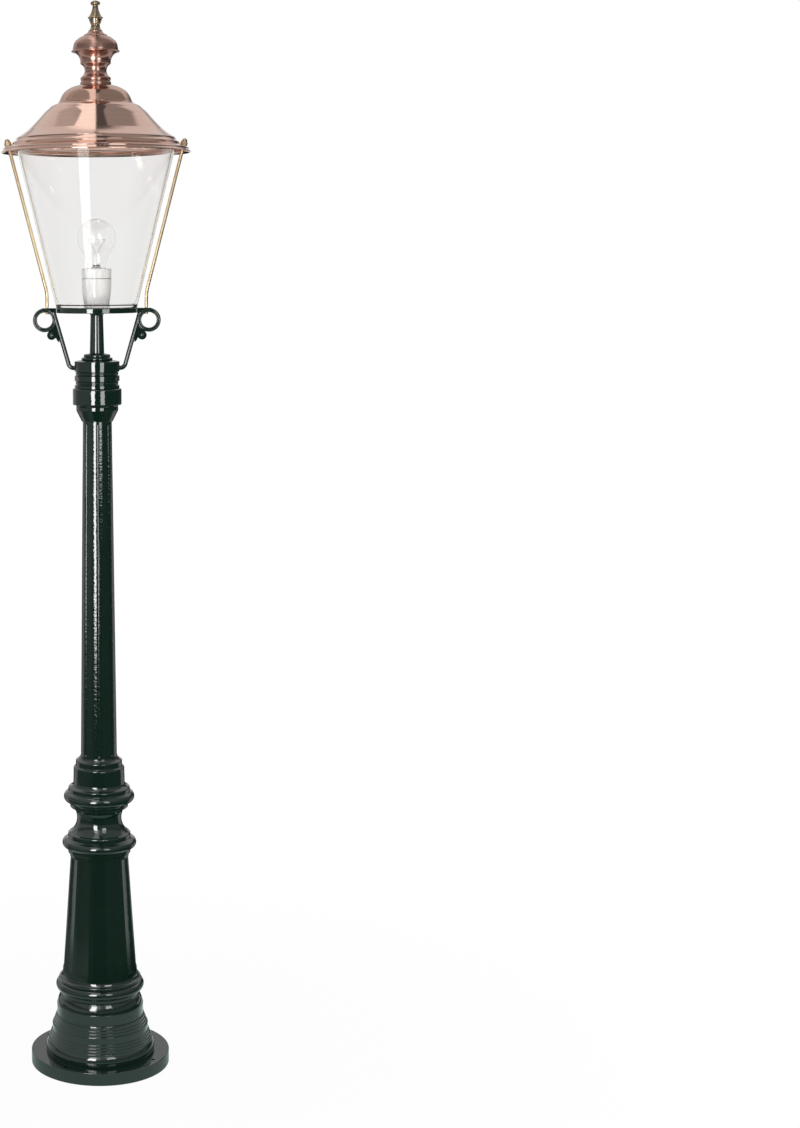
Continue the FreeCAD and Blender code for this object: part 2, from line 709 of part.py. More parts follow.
def make_rod():
    """Returns the right tie rod: upright through the eye, then leaning out to the roof's brim."""
    lean = rod_lean()
    half_turn = math.atan2(lean.x, lean.z) / 2
    reach = ROD_BEND_R * math.tan(half_turn)
    corner = point(ROD_X, ROD_BEND_Z)
    bend_in = corner.sub(FreeCAD.Vector(0, 0, reach))
    bend_out = corner.add(lean * reach)
    centre = bend_in.add(FreeCAD.Vector(ROD_BEND_R, 0, 0))
    middle = centre.add(FreeCAD.Vector(-math.cos(half_turn), 0, math.sin(half_turn)) * ROD_BEND_R)
    top = point(NUT_X, NUT_Z).add(lean * 4.4)
    low = point(ROD_X, TRAY_Z0 - 2.0)
    wire = Part.Wire([
        Part.makeLine(low, bend_in),
        Part.Arc(bend_in, middle, bend_out).toShape(),
        Part.makeLine(bend_out, top),
    ])
    section = Part.Wire([Part.makeCircle(ROD_R, low, FreeCAD.Vector(0, 0, 1))])
    rod = bar_along(wire, section)
    neck = ring(ROD_R - 0.4, ROD_R + 1.0, TRAY_Z1, TRAY_Z1 + 2.2)
    neck.translate(FreeCAD.Vector(ROD_X, 0, 0))
    return rod.cut(neck)


def make_nut():
    """Returns the right dome nut with its washer face, set square to the rod."""
    base, lean = point(NUT_X, NUT_Z), rod_lean()
    dome_r = NUT_FLATS / 2 - 0.6
    washer = Part.makeCylinder(NUT_FLATS / 2, 0.8, base, lean)
    body = hexagon(NUT_FLATS, NUT_HEX_H, base.add(lean * 0.8), lean)
    top = base.add(lean * (0.8 + NUT_HEX_H))
    stub = Part.makeCylinder(dome_r, 1.4, top, lean)
    dome = Part.makeSphere(dome_r, top.add(lean * 1.4))
    bore = Part.makeCylinder(ROD_R + FIT, 4.6, base.sub(lean * 0.1), lean)
    return washer.fuse([body, stub, dome]).cut(bore).removeSplitter()


def make_roof_bell():
    """Spun copper bell with its stepped brim, rolled lip and two holes for the tie rods."""
    path = Path(STEP_R + BRIM_W, STEP_Z - 16.2).on(
        STEP_R, STEP_Z,
        (BRIM_W - 0.2, -14.8, 0.2),
        (BRIM_W - 3.0, -11.8, -0.5),
        (BRIM_W - 3.0, -10.6),
        (BRIM_W - 5.0, -8.6, 0.5),
        (3.6, -4.6, -0.2),
        (2.6, -1.8),
        (1.4, -0.6, 0.4),
        (0, 0),
        (-3.0, BELL_Z - STEP_Z - 1.0, -0.7),
        (-4.4, BELL_Z - STEP_Z, 0.4),
    )
    spread = STEP_R - 4.4 - CREASE_R
    path.on(
        CREASE_R, BELL_Z,
        (0.728 * spread, 0.228 * BELL_H, -0.35),
        (0.415 * spread, 0.627 * BELL_H, -0.3),
        (0.238 * spread, 0.842 * BELL_H, 0.5),
        (0.050 * spread, 0.977 * BELL_H, 1.1),
        (1.8, BELL_H, -0.2),
        (-7.2, BELL_H),
    )
    bell = spun(path, SHEET_T)
    lean = rod_lean()
    hole = Part.makeCylinder(ROD_R + ROD_CLEARANCE, 30, point(NUT_X, NUT_Z).sub(lean * 20), lean)
    return bell.cut(hole).cut(mirrored(hole))


def make_roof_dome():
    """Small spun dome on the bell's top ledge."""
    path = Path(CREASE_R, CREASE_Z).on(
        CREASE_R, CREASE_Z,
        (0.4, 1.0, 0.3),
        (-1.0, 2.4, 0.3),
        (-4.6, 0.381 * DOME_H, 0.2),
        (-13.6, 0.734 * DOME_H, 1.0),
    )
    path.on(CHIMNEY_R, DOME_TOP_Z, (2.5, -0.6, 1.0), (1.1, 0, -0.1))
    path.to((STUD_R + SCREW_GAP, DOME_TOP_Z))
    return spun(path, SHEET_T)


def make_chimney_neck():
    """Hollow turned chimney: base ring, bead, waist and a cup flaring to a sharp rim."""
    path = Path(STUD_R + SCREW_GAP, DOME_TOP_Z).on(
        CHIMNEY_R, DOME_TOP_Z,
        (0, 0),
        (0, 1.8),
        (-0.6, 4.4, 0.3),
        (-1.5, 5.2),
        (-1.5, 6.0),
        (-1.7, 11.8, 1.2),
    )
    path.on(
        CHIMNEY_R, RIM_Z,
        (-0.9, -19.8, -5.7),
        (-0.5, -19.0),
        (-0.5, -15.8, 0.1),
    )
    path.on(
        RIM_R, RIM_Z,
        (-10.3, -7.2, -0.7),
        (-0.8, -2.0, -1.2),
        (0, -0.8),
        (-0.4, 0, 0.1),
        (-3.8, 0),
        (-9.4 - CHIMNEY_WALL, -5.4, 1.0),
    )
    inner = CHIMNEY_R - CHIMNEY_WALL
    path.on(
        inner, RIM_Z,
        (-0.5, -15.0, 0.6),
        (-0.5, -18.6),
        (-6.7, -27.0, 1.6),
    )
    path.on(inner, DOME_TOP_Z, (-6.7, 18.8), (-1.5, 10.8, 1.0), (-1.5, 2.0))
    path.to((STUD_R + SCREW_GAP, DOME_TOP_Z + 2.0))
    return turned(path)


def make_chimney_cap():
    """Spun cap on the chimney's rim, with a stepped flare under the spire."""
    path = Path(CHIMNEY_CAP_R, RIM_Z).on(
        CHIMNEY_CAP_R, RIM_Z,
        (0, 1.0),
        (-0.8, 6.4, 0.12),
        (-7.6, 0.597 * CAP_H, 1.5),
    )
    path.on(
        SPIRE_R, CAP_TOP_Z,
        (7.5, -6.8, 0.7),
        (6.7, -5.4, 0.3),
        (5.5, -4.6, 0.2),
        (1.3, -1.4, -0.5),
        (0.1, 0, -0.15),
    )
    path.to((STUD_R + SCREW_GAP, CAP_TOP_Z))
    return spun(path, SHEET_T)


def make_spire():
    """Turned brass spire with a button on top and a blind hole for the stud."""
    path = Path(STUD_R + FIT, CAP_TOP_Z).on(
        SPIRE_R, CAP_TOP_Z,
        (0, 0),
        (-0.2, 1.2, 0.2),
        (-3.7, 7.4, -0.7),
        (-3.8, 10.0, -0.1),
        (-2.1, 13.8, 0.2),
        (-0.8, 17.6, 0.15),
        (0.7, 19.4, -0.3),
        (0.7, 20.8, 0.35),
        (-1.0, 22.2),
    )
    path.on(
        SPIRE_R, SPIRE_TOP_Z,
        (-5.1, -15.5, -0.3),
        (-6.6, -8.8, -0.15),
        (-5.5, -7.2, -0.2),
        (-4.9, -1.8, 1.9),
        (-SPIRE_R, 0, crown(SPIRE_R - 4.9, 1.8)),
    )
    path.to((0, CAP_TOP_Z + 12.0), (STUD_R + FIT, CAP_TOP_Z + 12.0))
    return turned(path)


def make_stud():
    """Threaded stud that draws spire, cap, chimney and dome together."""
    foot = DOME_TOP_Z - 10.2
    return Part.makeCylinder(STUD_R, CAP_TOP_Z + 10.0 - foot, point(0, foot))


def make_stud_nut():
    """Hexagon nut and broad washer under the dome's top."""
    washer_z = DOME_TOP_Z - SHEET_T - 1.6
    up = FreeCAD.Vector(0, 0, 1)
    bore = Part.makeCylinder(STUD_R + FIT, 30, point(0, washer_z - 15))
    nut = hexagon(STUD_NUT_FLATS, 6.4, point(0, washer_z - 6.4), up)
    washer = Part.makeCylinder(STUD_NUT_FLATS / 2 + 5.5, 1.6, point(0, washer_z))
    return nut.fuse(washer).cut(bore)


def make_holder_base():
    """Lower porcelain body, swelling upwards, hollow for the nipple nut and contact."""
    floor = TRAY_Z1 + HOLDER_FLOOR_T
    path = Path(STEM_BORE_R + FIT, TRAY_Z1).to(
        (HOLDER_FOOT_R - 0.6, TRAY_Z1),
        (HOLDER_FOOT_R, TRAY_Z1 + 1.0, 0.2),
        (HOLDER_R - 0.2, HOLDER_SEAM_Z - 8.0, 1.0),
        (HOLDER_R, HOLDER_SEAM_Z - 0.7),
        (HOLDER_R - 0.7, HOLDER_SEAM_Z, 0.2),
        (SHELL_R + FIT, HOLDER_SEAM_Z),
        (SHELL_R + FIT, SHELL_Z0),
        (STEM_BORE_R + 4.0, SHELL_Z0),
        (STEM_BORE_R + 4.0, floor),
        (STEM_BORE_R + FIT, floor),
    )
    return turned(path)


def make_holder_ring():
    """Upper porcelain ring round the bulb's neck."""
    mouth = CAP_CREST_R + 2.3
    path = Path(SHELL_R + FIT, HOLDER_SEAM_Z).to(
        (HOLDER_R - 0.7, HOLDER_SEAM_Z),
        (HOLDER_R, HOLDER_SEAM_Z + 0.7, 0.2),
        (HOLDER_R, HOLDER_TOP_Z - 2.0),
        (HOLDER_R - 2.0, HOLDER_TOP_Z, 0.6),
        (mouth + 1.0, HOLDER_TOP_Z),
        (mouth, HOLDER_TOP_Z - 1.0, 0.3),
        (mouth, SHELL_Z1),
        (SHELL_R + FIT, SHELL_Z1),
    )
    return turned(path)


def make_holder_contact():
    """Sprung centre contact on its plate."""
    path = Path(0, SHELL_Z0).to(
        (STEM_BORE_R + 5.5, SHELL_Z0),
        (STEM_BORE_R + 5.5, SHELL_Z0 + 1.2),
        (3.0, SHELL_Z0 + 1.2),
        (2.4, CONTACT_Z - 1.0),
        (0, CONTACT_Z - RUN_CLEARANCE, crown(2.4, 1.0 - RUN_CLEARANCE)),
    )
    return turned(path)


def make_nipple():
    """Threaded tube that fixes the lamp holder to the tray, with its nut."""
    floor = TRAY_Z1 + HOLDER_FLOOR_T
    inner = STEM_BORE_R - NIPPLE_WALL
    tube = ring(inner, STEM_BORE_R - FIT, TRAY_Z0 - NIPPLE_DROP, floor + 6.0)
    nut = hexagon(2 * STEM_BORE_R + 4.0, 4.0, point(0, floor), FreeCAD.Vector(0, 0, 1))
    bore = Part.makeCylinder(inner + 0.4, 60, point(0, floor - 30))
    return tube.fuse(nut.cut(bore)).removeSplitter()


def make_bulb_glass():
    """Thin pear-shaped envelope, open at the neck."""
    inner = BULB_R - BULB_WALL
    side = math.sin(math.radians(45))
    sweep = 1 - math.cos(math.radians(22.5))
    path = Path(NECK_R, NECK_Z).to(
        (NECK_R + 0.6, NECK_Z + 4.0),
        (NECK_R + 2.4, NECK_Z + 0.252 * BULB_RISE, -0.15),
        (BULB_R - 3.8, NECK_Z + 0.717 * BULB_RISE, -1.2),
        (BULB_R, BULB_Z, 0.9),
        (BULB_R * side, BULB_Z + BULB_R * side, BULB_R * sweep),
        (0, BULB_Z + BULB_R, BULB_R * sweep),
        (0, BULB_Z + inner),
        (inner * side, BULB_Z + inner * side, -inner * sweep),
        (inner, BULB_Z, -inner * sweep),
        (inner - 3.8, NECK_Z + 0.717 * BULB_RISE + 0.3, -0.9),
        (NECK_R + 2.4 - BULB_WALL, NECK_Z + 0.252 * BULB_RISE + 0.2, 1.2),
        (NECK_R + 0.6 - BULB_WALL, NECK_Z + 4.1, 0.15),
        (NECK_R - BULB_WALL, NECK_Z),
    )
    return turned(path)


def make_bulb_cap():
    """Brass screw cap with its rolled thread."""
    root = CAP_CREST_R - CAP_THREAD_DEPTH
    path = Path(root - 2.0, THREAD_Z - 1.8).to((root - 0.6, THREAD_Z - 1.8), (root, THREAD_Z))
    for turn in range(CAP_TURN_COUNT):
        path.to((root, THREAD_Z + (turn + 1) * CAP_PITCH, CAP_THREAD_DEPTH))
    path.on(
        NECK_R, NECK_Z,
        (-0.6, -1.0),
        (0.9, 1.2),
        (1.0, 2.4),
        (0.4, 2.4),
        (0.05, 0),
    )
    path.to(
        (root - 0.5, NECK_Z),
        (root - 0.5, THREAD_Z - 0.2),
        (root - 2.0, THREAD_Z - 0.2),
    )
    return turned(path)


def make_bulb_insulator():
    """Dark insulator under the cap."""
    outer = CAP_CREST_R - CAP_THREAD_DEPTH - 2.0
    path = Path(4.4, CONTACT_Z + 0.8).to(
        (5.4, CONTACT_Z + 0.8),
        (outer, THREAD_Z - 1.8),
        (outer, THREAD_Z - 0.2),
        (4.4, THREAD_Z - 0.2),
    )
    return turned(path)


def make_bulb_contact():
    """Soldered contact button at the bulb's foot."""
    path = Path(0, CONTACT_Z).to(
        (4.4, CONTACT_Z + 0.8, crown(4.4, 0.8)),
        (4.4, CONTACT_Z + 3.4),
        (0, CONTACT_Z + 3.4),
    )
    return turned(path)


def make_bulb_stem():
    """Glass stem: flare sealed into the neck, tube, and flattened press."""
    flare = NECK_R + 0.55 - BULB_WALL
    path = Path(0, NECK_Z + 3.0).on(
        0, NECK_Z,
        (flare - 1.5, 3.0),
        (flare, 4.0),
        (flare, 5.0),
        (flare - 2.1, 5.0),
        (4.6, 13.0, -1.6),
        (4.0, 25.0),
        (3.2, 30.0, 0.2),
        (1.3, 31.5),
        (1.3, 38.0),
        (2.2, 40.0, 0.4),
        (0, 42.0, crown(2.2, 2.0)),
    )
    return turned(path)


def wire_along(points, radius):
    """Returns a thin round wire along a smooth curve through points that stand over the bulb's neck."""
    lift = FreeCAD.Vector(0, 0, NECK_Z)
    spots = [FreeCAD.Vector(*spot).add(lift) for spot in points]
    curve = Part.BSplineCurve()
    curve.interpolate(spots)
    path = Part.Wire([curve.toShape()])
    tangent = curve.tangent(curve.FirstParameter)[0]
    section = Part.Wire([Part.makeCircle(radius, spots[0], tangent)])
    return bar_along(path, section)


def make_bulb_leads():
    """Two lead wires and two hooked supports that stand on the stem and hold the filament."""
    stem = make_bulb_stem()
    wires = []
    for side in (-1, 1):
        lead = [(side * 2.0, 0, 28.5), (side * 4.6, -0.6, 35.0), (side * 13.6, -3.0, 48.6)]
        support = [(side * 1.0, 0.4, 40.2), (side * 3.6, 4.0, 45.0), (side * 5.4, 6.6, 49.0)]
        wires.append(wire_along(lead, 0.4).cut(stem))
        wires.append(wire_along(support, 0.3).cut(stem))
    return Part.makeCompound(wires)


def make_bulb_filament():
    """Coiled filament, drawn as one fine arc from lead to lead."""
    return wire_along([
        (-13.6, -3.0, 49.4), (-11.0, 3.4, 49.3), (-5.4, 6.6, 49.6), (0, 7.4, 48.8),
        (5.4, 6.6, 49.6), (11.0, 3.4, 49.3), (13.6, -3.0, 49.4),
    ], 0.45)


def make_parts():
    """Returns every piece by name."""
    rod = make_rod()
    nut = make_nut()
    return {
        "pedestal": make_pedestal(),
        "shaft": make_shaft(),
        "capital": make_capital(),
        "yoke": make_yoke(),
        "collar_screws": make_collar_screws(),
        "glass_seal": ring(GLASS_R0 - GLASS_LIP, GLASS_R0 - 0.4, TRAY_Z1, GLASS_Z),
        "glass_cone": make_glass(),
        "tie_rod_right": rod,
        "tie_rod_left": mirrored(rod),
        "dome_nut_right": nut,
        "dome_nut_left": mirrored(nut),
        "roof_bell": make_roof_bell(),
        "roof_dome": make_roof_dome(),
        "chimney_neck": make_chimney_neck(),
        "chimney_cap": make_chimney_cap(),
        "spire": make_spire(),
        "chimney_stud": make_stud(),
        "stud_nut": make_stud_nut(),
        "holder_base": make_holder_base(),
        "holder_ring": make_holder_ring(),
        "holder_shell": ring(SHELL_BORE_R, SHELL_R, SHELL_Z0, SHELL_Z1),
        "holder_contact": make_holder_contact(),
        "holder_nipple": make_nipple(),
        "bulb_glass": make_bulb_glass(),
        "bulb_cap": make_bulb_cap(),
        "bulb_insulator": make_bulb_insulator(),
        "bulb_contact": make_bulb_contact(),
        "bulb_stem": make_bulb_stem(),
        "bulb_leads": make_bulb_leads(),
        "bulb_filament": make_bulb_filament(),
    }


def main():
    """Writes one file per piece and prints a short check of each."""
    os.makedirs("parts", exist_ok=True)
    for name, shape in make_parts().items():
        shape.exportStep(f"parts/{name}.step")
        print(f"{name}: {len(shape.Solids)} solid, valid {shape.isValid()}, {shape.Volume / 1000:.1f} cm3")


main()
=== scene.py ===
"""Garden lamp: finishes for the cast post and the copper lantern, fine wire work, and a plain studio."""

import logging
import math
from dataclasses import dataclass, field
from enum import Enum
from typing import Any, ClassVar, Optional, Union

import bpy
from mathutils import Matrix, Vector


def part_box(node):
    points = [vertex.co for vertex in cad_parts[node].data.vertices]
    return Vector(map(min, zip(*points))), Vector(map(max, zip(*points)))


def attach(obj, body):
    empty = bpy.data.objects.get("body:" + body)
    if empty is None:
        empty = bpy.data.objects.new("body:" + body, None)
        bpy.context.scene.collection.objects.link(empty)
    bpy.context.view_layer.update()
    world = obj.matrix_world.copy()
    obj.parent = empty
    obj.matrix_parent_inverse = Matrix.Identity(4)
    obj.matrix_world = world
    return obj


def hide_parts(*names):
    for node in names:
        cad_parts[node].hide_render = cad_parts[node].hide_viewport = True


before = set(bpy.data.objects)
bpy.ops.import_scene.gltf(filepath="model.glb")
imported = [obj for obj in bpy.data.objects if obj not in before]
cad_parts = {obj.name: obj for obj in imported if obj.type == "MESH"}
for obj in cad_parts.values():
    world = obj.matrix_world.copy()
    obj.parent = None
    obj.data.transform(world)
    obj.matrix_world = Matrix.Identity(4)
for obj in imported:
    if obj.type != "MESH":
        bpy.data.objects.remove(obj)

LOG = logging.getLogger("garden_lamp")
Colour = tuple[float, float, float]
BLACK: Colour = (0.0, 0.0, 0.0)
WHITE: Colour = (1.0, 1.0, 1.0)


class Body(Enum):
    """The bodies that pieces ride on."""

    POST = "post"
    LANTERN = "lantern"
    BULB = "bulb"


class Wire:
    """A node socket that can be used in sums; each sum adds its Math nodes."""

    def __init__(self, sheet: "NodeSheet", socket: bpy.types.NodeSocket) -> None:
        """Wraps a socket of a sheet."""
        self.sheet = sheet
        self.socket = socket

    def math(
        self, operation: str, first: "Number", second: "Number" = 0.0, third: "Number" = 0.0
    ) -> "Wire":
        """Adds one Math node.

        Args:
            operation: The Math node's operation.
            first: First input.
            second: Second input.
            third: Third input.

        Returns:
            The node's value.
        """
        inputs = {0: first, 1: second, 2: third}
        node = self.sheet.node("ShaderNodeMath", {"operation": operation}, inputs)
        return Wire(self.sheet, node.outputs[0])

    def __add__(self, other: "Number") -> "Wire":
        """Returns self + other."""
        return self.math("ADD", self, other)

    def __radd__(self, other: "Number") -> "Wire":
        """Returns other + self."""
        return self.math("ADD", other, self)

    def __sub__(self, other: "Number") -> "Wire":
        """Returns self - other."""
        return self.math("SUBTRACT", self, other)

    def __rsub__(self, other: "Number") -> "Wire":
        """Returns other - self."""
        return self.math("SUBTRACT", other, self)

    def __mul__(self, other: "Number") -> "Wire":
        """Returns self * other."""
        return self.math("MULTIPLY", self, other)

    def __rmul__(self, other: "Number") -> "Wire":
        """Returns other * self."""
        return self.math("MULTIPLY", other, self)

    def __truediv__(self, other: "Number") -> "Wire":
        """Returns self / other."""
        return self.math("DIVIDE", self, other)

    def __rtruediv__(self, other: "Number") -> "Wire":
        """Returns other / self."""
        return self.math("DIVIDE", other, self)

    def __pow__(self, other: "Number") -> "Wire":
        """Returns self to the power of other."""
        return self.math("POWER", self, other)

    def larger(self, other: "Number") -> "Wire":
        """Returns the larger of self and other."""
        return self.math("MAXIMUM", self, other)

    def sine(self) -> "Wire":
        """Returns the sine of self."""
        return self.math("SINE", self)

    def cosine(self) -> "Wire":
        """Returns the cosine of self."""
        return self.math("COSINE", self)

    def size(self) -> "Wire":
        """Returns self without its sign."""
        return self.math("ABSOLUTE", self)

    def clamped(self) -> "Wire":
        """Returns self kept between 0 and 1."""
        return self.math("MINIMUM", self.larger(0.0), 1.0)

    def ramp(self, low: float, high: float) -> "Wire":
        """Returns a smooth step of self.

        Args:
            low: Value where the step is 0.
            high: Value where the step is 1.

        Returns:
            The step, from 0 to 1.
        """
        inputs = {0: self, 1: low, 2: high, 3: 0.0, 4: 1.0}
        node = self.sheet.node("ShaderNodeMapRange", {"interpolation_type": "SMOOTHSTEP"}, inputs)
        return Wire(self.sheet, node.outputs[0])


Number = Union[float, Wire]


class NodeSheet:
    """A node tree under construction."""

    def __init__(self, tree: bpy.types.NodeTree) -> None:
        """Clears the tree."""
        self.tree = tree
        tree.nodes.clear()

    def node(
        self,
        kind: str,
        settings: Optional[dict[str, Any]] = None,
        inputs: Optional[dict[Any, Any]] = None,
    ) -> bpy.types.Node:
        """Adds a node.

        Args:
            kind: The node's type.
            settings: Properties that are set first.
            inputs: Values or links, by socket name or index.

        Returns:
            The new node.
        """
        node = self.tree.nodes.new(kind)
        for name, value in (settings or {}).items():
            setattr(node, name, value)
        for key, value in (inputs or {}).items():
            socket = node.inputs[key]
            if isinstance(value, Wire):
                self.tree.links.new(value.socket, socket)
            elif isinstance(value, bpy.types.NodeSocket):
                self.tree.links.new(value, socket)
            elif isinstance(value, tuple) and len(value) == 3 and socket.type == "RGBA":
                socket.default_value = (*value, 1.0)
            else:
                socket.default_value = value
        return node

    def wire(self, node: bpy.types.Node, output: Union[int, str] = 0) -> Wire:
        """Returns a node's output as a value."""
        return Wire(self, node.outputs[output])

    def place(self) -> Wire:
        """Returns the point on the piece, in metres."""
        return self.wire(self.node("ShaderNodeTexCoord"), "Object")

    def axes(self, vector: Wire) -> tuple[Wire, Wire, Wire]:
        """Returns the three parts of a vector."""
        node = self.node("ShaderNodeSeparateXYZ", {}, {0: vector})
        return self.wire(node, 0), self.wire(node, 1), self.wire(node, 2)

    def vector(self, operation: str, inputs: dict[Any, Any]) -> bpy.types.NodeSocket:
        """Returns the outcome of one Vector Math node."""
        return self.node("ShaderNodeVectorMath", {"operation": operation}, inputs).outputs[0]

    def blend(self, share: Number, first: Any, second: Any) -> Wire:
        """Mixes two colours.

        Args:
            share: Share of the second colour.
            first: First colour.
            second: Second colour.

        Returns:
            The mixed colour.
        """
        node = self.node("ShaderNodeMix", {"data_type": "RGBA"}, {0: share, 6: first, 7: second})
        return self.wire(node, 2)

    def noise(self, vector: Wire, scale: float, detail: float = 3.0, rough: float = 0.5) -> Wire:
        """Returns soft noise over the piece.

        Args:
            vector: Where to read it.
            scale: Patches per metre.
            detail: Number of finer layers.
            rough: Weight of the finer layers.

        Returns:
            A value from 0 to 1.
        """
        inputs = {"Vector": vector, "Scale": scale, "Detail": detail, "Roughness": rough}
        return self.wire(self.node("ShaderNodeTexNoise", {}, inputs))

    def lines(self, along: Wire, scale: float, detail: float = 2.0) -> Wire:
        """Returns noise that changes in one direction only, as fine turning lines.

        Args:
            along: Place along that direction, in metres.
            scale: Lines per metre.
            detail: Number of finer layers.

        Returns:
            A value from 0 to 1.
        """
        inputs = {"W": along, "Scale": scale, "Detail": detail}
        return self.wire(self.node("ShaderNodeTexNoise", {"noise_dimensions": "1D"}, inputs))

    def bump(self, height: Wire, strength: float, distance: float) -> Wire:
        """Returns a normal that is bent by a height.

        Args:
            height: Height from 0 to 1.
            strength: Share of the bend.
            distance: Depth in metres.

        Returns:
            The normal.
        """
        inputs = {"Height": height, "Strength": strength, "Distance": distance}
        return self.wire(self.node("ShaderNodeBump", {}, inputs))

    def slant(self) -> Wire:
        """Returns 0 where a surface is met head on and 1 where it is met along it."""
        return self.wire(self.node("ShaderNodeLayerWeight", {}, {"Blend": 0.5}), "Facing")

    def mix(
        self, share: Number, first: bpy.types.NodeSocket, second: bpy.types.NodeSocket
    ) -> bpy.types.NodeSocket:
        """Returns two shaders mixed, with this share of the second."""
        return self.node("ShaderNodeMixShader", {}, {0: share, 1: first, 2: second}).outputs[0]

    def rays(self) -> tuple[Wire, Wire, Wire]:
        """Tells the kinds of rays apart.

        Returns:
            1 for rays of the eye, also through glass; 1 for mirror rays; 1 for rays through glass.
        """
        path = self.node("ShaderNodeLightPath")
        through = self.wire(path, "Is Transmission Ray")
        direct = 1.0 - self.wire(path, "Diffuse Depth").clamped()
        seen = self.wire(path, "Is Camera Ray").larger(through * direct)
        mirror = self.wire(path, "Is Glossy Ray") * (1.0 - through)
        return seen, mirror, through


class Finish:
    """Base of the finishes: builds its material once."""

    made: ClassVar[dict[str, bpy.types.Material]] = {}
    title: str

    def material(self) -> bpy.types.Material:
        """Makes the finish's material on first use.

        Returns:
            The material.
        """
        if self.title not in Finish.made:
            material = bpy.data.materials.new(self.title)
            material.use_nodes = True
            sheet = NodeSheet(material.node_tree)
            sheet.node("ShaderNodeOutputMaterial", {}, {"Surface": self.shade(sheet)})
            Finish.made[self.title] = material
        return Finish.made[self.title]

    def shade(self, sheet: NodeSheet) -> bpy.types.NodeSocket:
        """Returns the shader socket of the finish."""
        raise NotImplementedError

    @staticmethod
    def surface(sheet: NodeSheet, inputs: dict[str, Any]) -> bpy.types.NodeSocket:
        """Adds the surface shader.

        Args:
            sheet: The material's nodes.
            inputs: Values or links of its sockets.

        Returns:
            The shader socket.
        """
        return sheet.node("ShaderNodeBsdfPrincipled", {}, inputs).outputs[0]


@dataclass(frozen=True)
class GlossPaint(Finish):
    """Thick gloss paint on a casting, with a slight orange peel."""

    title: str
    gloss: float
    peel: float
    deep: Colour = (0.0034, 0.0165, 0.0102)
    light: Colour = (0.0046, 0.0200, 0.0128)
    dust: Colour = (0.03, 0.045, 0.036)
    index: float = 1.83

    def shade(self, sheet: NodeSheet) -> bpy.types.NodeSocket:
        """Adds the paint's nodes.

        Args:
            sheet: The material's nodes.

        Returns:
            The shader socket.
        """
        place = sheet.place()
        cloud = sheet.noise(place, 9.0, 4.0, 0.6)
        speck = sheet.noise(place, 420.0, 2.0)
        peel = sheet.noise(place, 240.0, 2.0)
        colour = sheet.blend(cloud.ramp(0.3, 0.75), self.deep, self.light)
        dust = speck.ramp(0.62, 0.8) * cloud.ramp(0.45, 0.8)
        return self.surface(sheet, {
            "Base Color": sheet.blend(dust * 0.25, colour, self.dust),
            "Roughness": self.gloss + cloud * 0.04 + dust * 0.1,
            "IOR": self.index,
            "Normal": sheet.bump(peel + speck * 0.25, self.peel, 0.0004),
        })


@dataclass(frozen=True)
class SpunMetal(Finish):
    """Metal spun or turned on a lathe, with fine lines round the axis."""

    title: str
    bright: Colour
    dark: Colour
    rough: float
    stretch: float
    line_scale: float = 900.0
    line_depth: float = 0.12

    def shade(self, sheet: NodeSheet) -> bpy.types.NodeSocket:
        """Adds the metal's nodes.

        Args:
            sheet: The material's nodes.

        Returns:
            The shader socket.
        """
        place = sheet.place()
        x, y, z = sheet.axes(place)
        radius = (x * x + y * y) ** 0.5
        along = radius * 0.6 - z
        fine = sheet.lines(along, self.line_scale, 3.0)
        broad = sheet.lines(along, self.line_scale * 0.12, 2.0)
        stain = sheet.noise(place, 16.0, 5.0, 0.6)
        share = (fine * 0.35 + broad * 0.3 + stain * 0.35).ramp(0.3, 0.72)
        return self.surface(sheet, {
            "Base Color": sheet.blend(share, self.dark, self.bright),
            "Metallic": 1.0,
            "Roughness": self.rough + fine * 0.05 + stain * 0.04,
            "Anisotropic": self.stretch,
            "Anisotropic Rotation": 0.25,
            "Normal": sheet.bump(fine, self.line_depth, 0.0002),
        })


@dataclass(frozen=True)
class DrawnMetal(Finish):
    """Drawn, pressed or cut metal with soft tarnish and small scratches."""

    title: str
    bright: Colour
    dark: Colour
    rough: float

    def shade(self, sheet: NodeSheet) -> bpy.types.NodeSocket:
        """Adds the metal's nodes.

        Args:
            sheet: The material's nodes.

        Returns:
            The shader socket.
        """
        place = sheet.place()
        stain = sheet.noise(place, 60.0, 5.0, 0.65)
        grain = sheet.noise(place, 900.0, 2.0)
        return self.surface(sheet, {
            "Base Color": sheet.blend(stain.ramp(0.3, 0.7), self.dark, self.bright),
            "Metallic": 1.0,
            "Roughness": self.rough + stain * 0.12 + grain * 0.06,
            "Normal": sheet.bump(grain, 0.04, 0.0002),
        })


@dataclass(frozen=True)
class Glaze(Finish):
    """White glaze over porcelain, with a painted shade line in dark grey along the joint of its two bodies.
    """

    title: str
    body: Colour
    shadow: Colour
    # Dark grey band along the joint: painted shade of the gap between the two bodies.
    joint_shade: Colour = (0.22, 0.21, 0.2)
    joint: float = 1.2726
    joint_shade_width: float = 0.0008

    def shade(self, sheet: NodeSheet) -> bpy.types.NodeSocket:
        """Adds the glaze's nodes.

        Args:
            sheet: The material's nodes.

        Returns:
            The shader socket.
        """
        place = sheet.place()
        height = sheet.axes(place)[2]
        cloud = sheet.noise(place, 70.0, 4.0)
        pool = sheet.noise(place, 240.0, 2.0)
        # Mask of the painted shade line, centred on the joint's height.
        low, high = self.joint - self.joint_shade_width, self.joint + self.joint_shade_width
        line = height.ramp(low, self.joint) - height.ramp(self.joint, high)
        glaze = sheet.blend(cloud.ramp(0.35, 0.75), self.body, self.shadow)
        return self.surface(sheet, {
            "Base Color": sheet.blend(line.ramp(0.1, 0.5), glaze, self.joint_shade),
            "Roughness": 0.1 + cloud * 0.06,
            "Specular IOR Level": 0.3,
            "Normal": sheet.bump(pool, 0.08, 0.0004),
        })


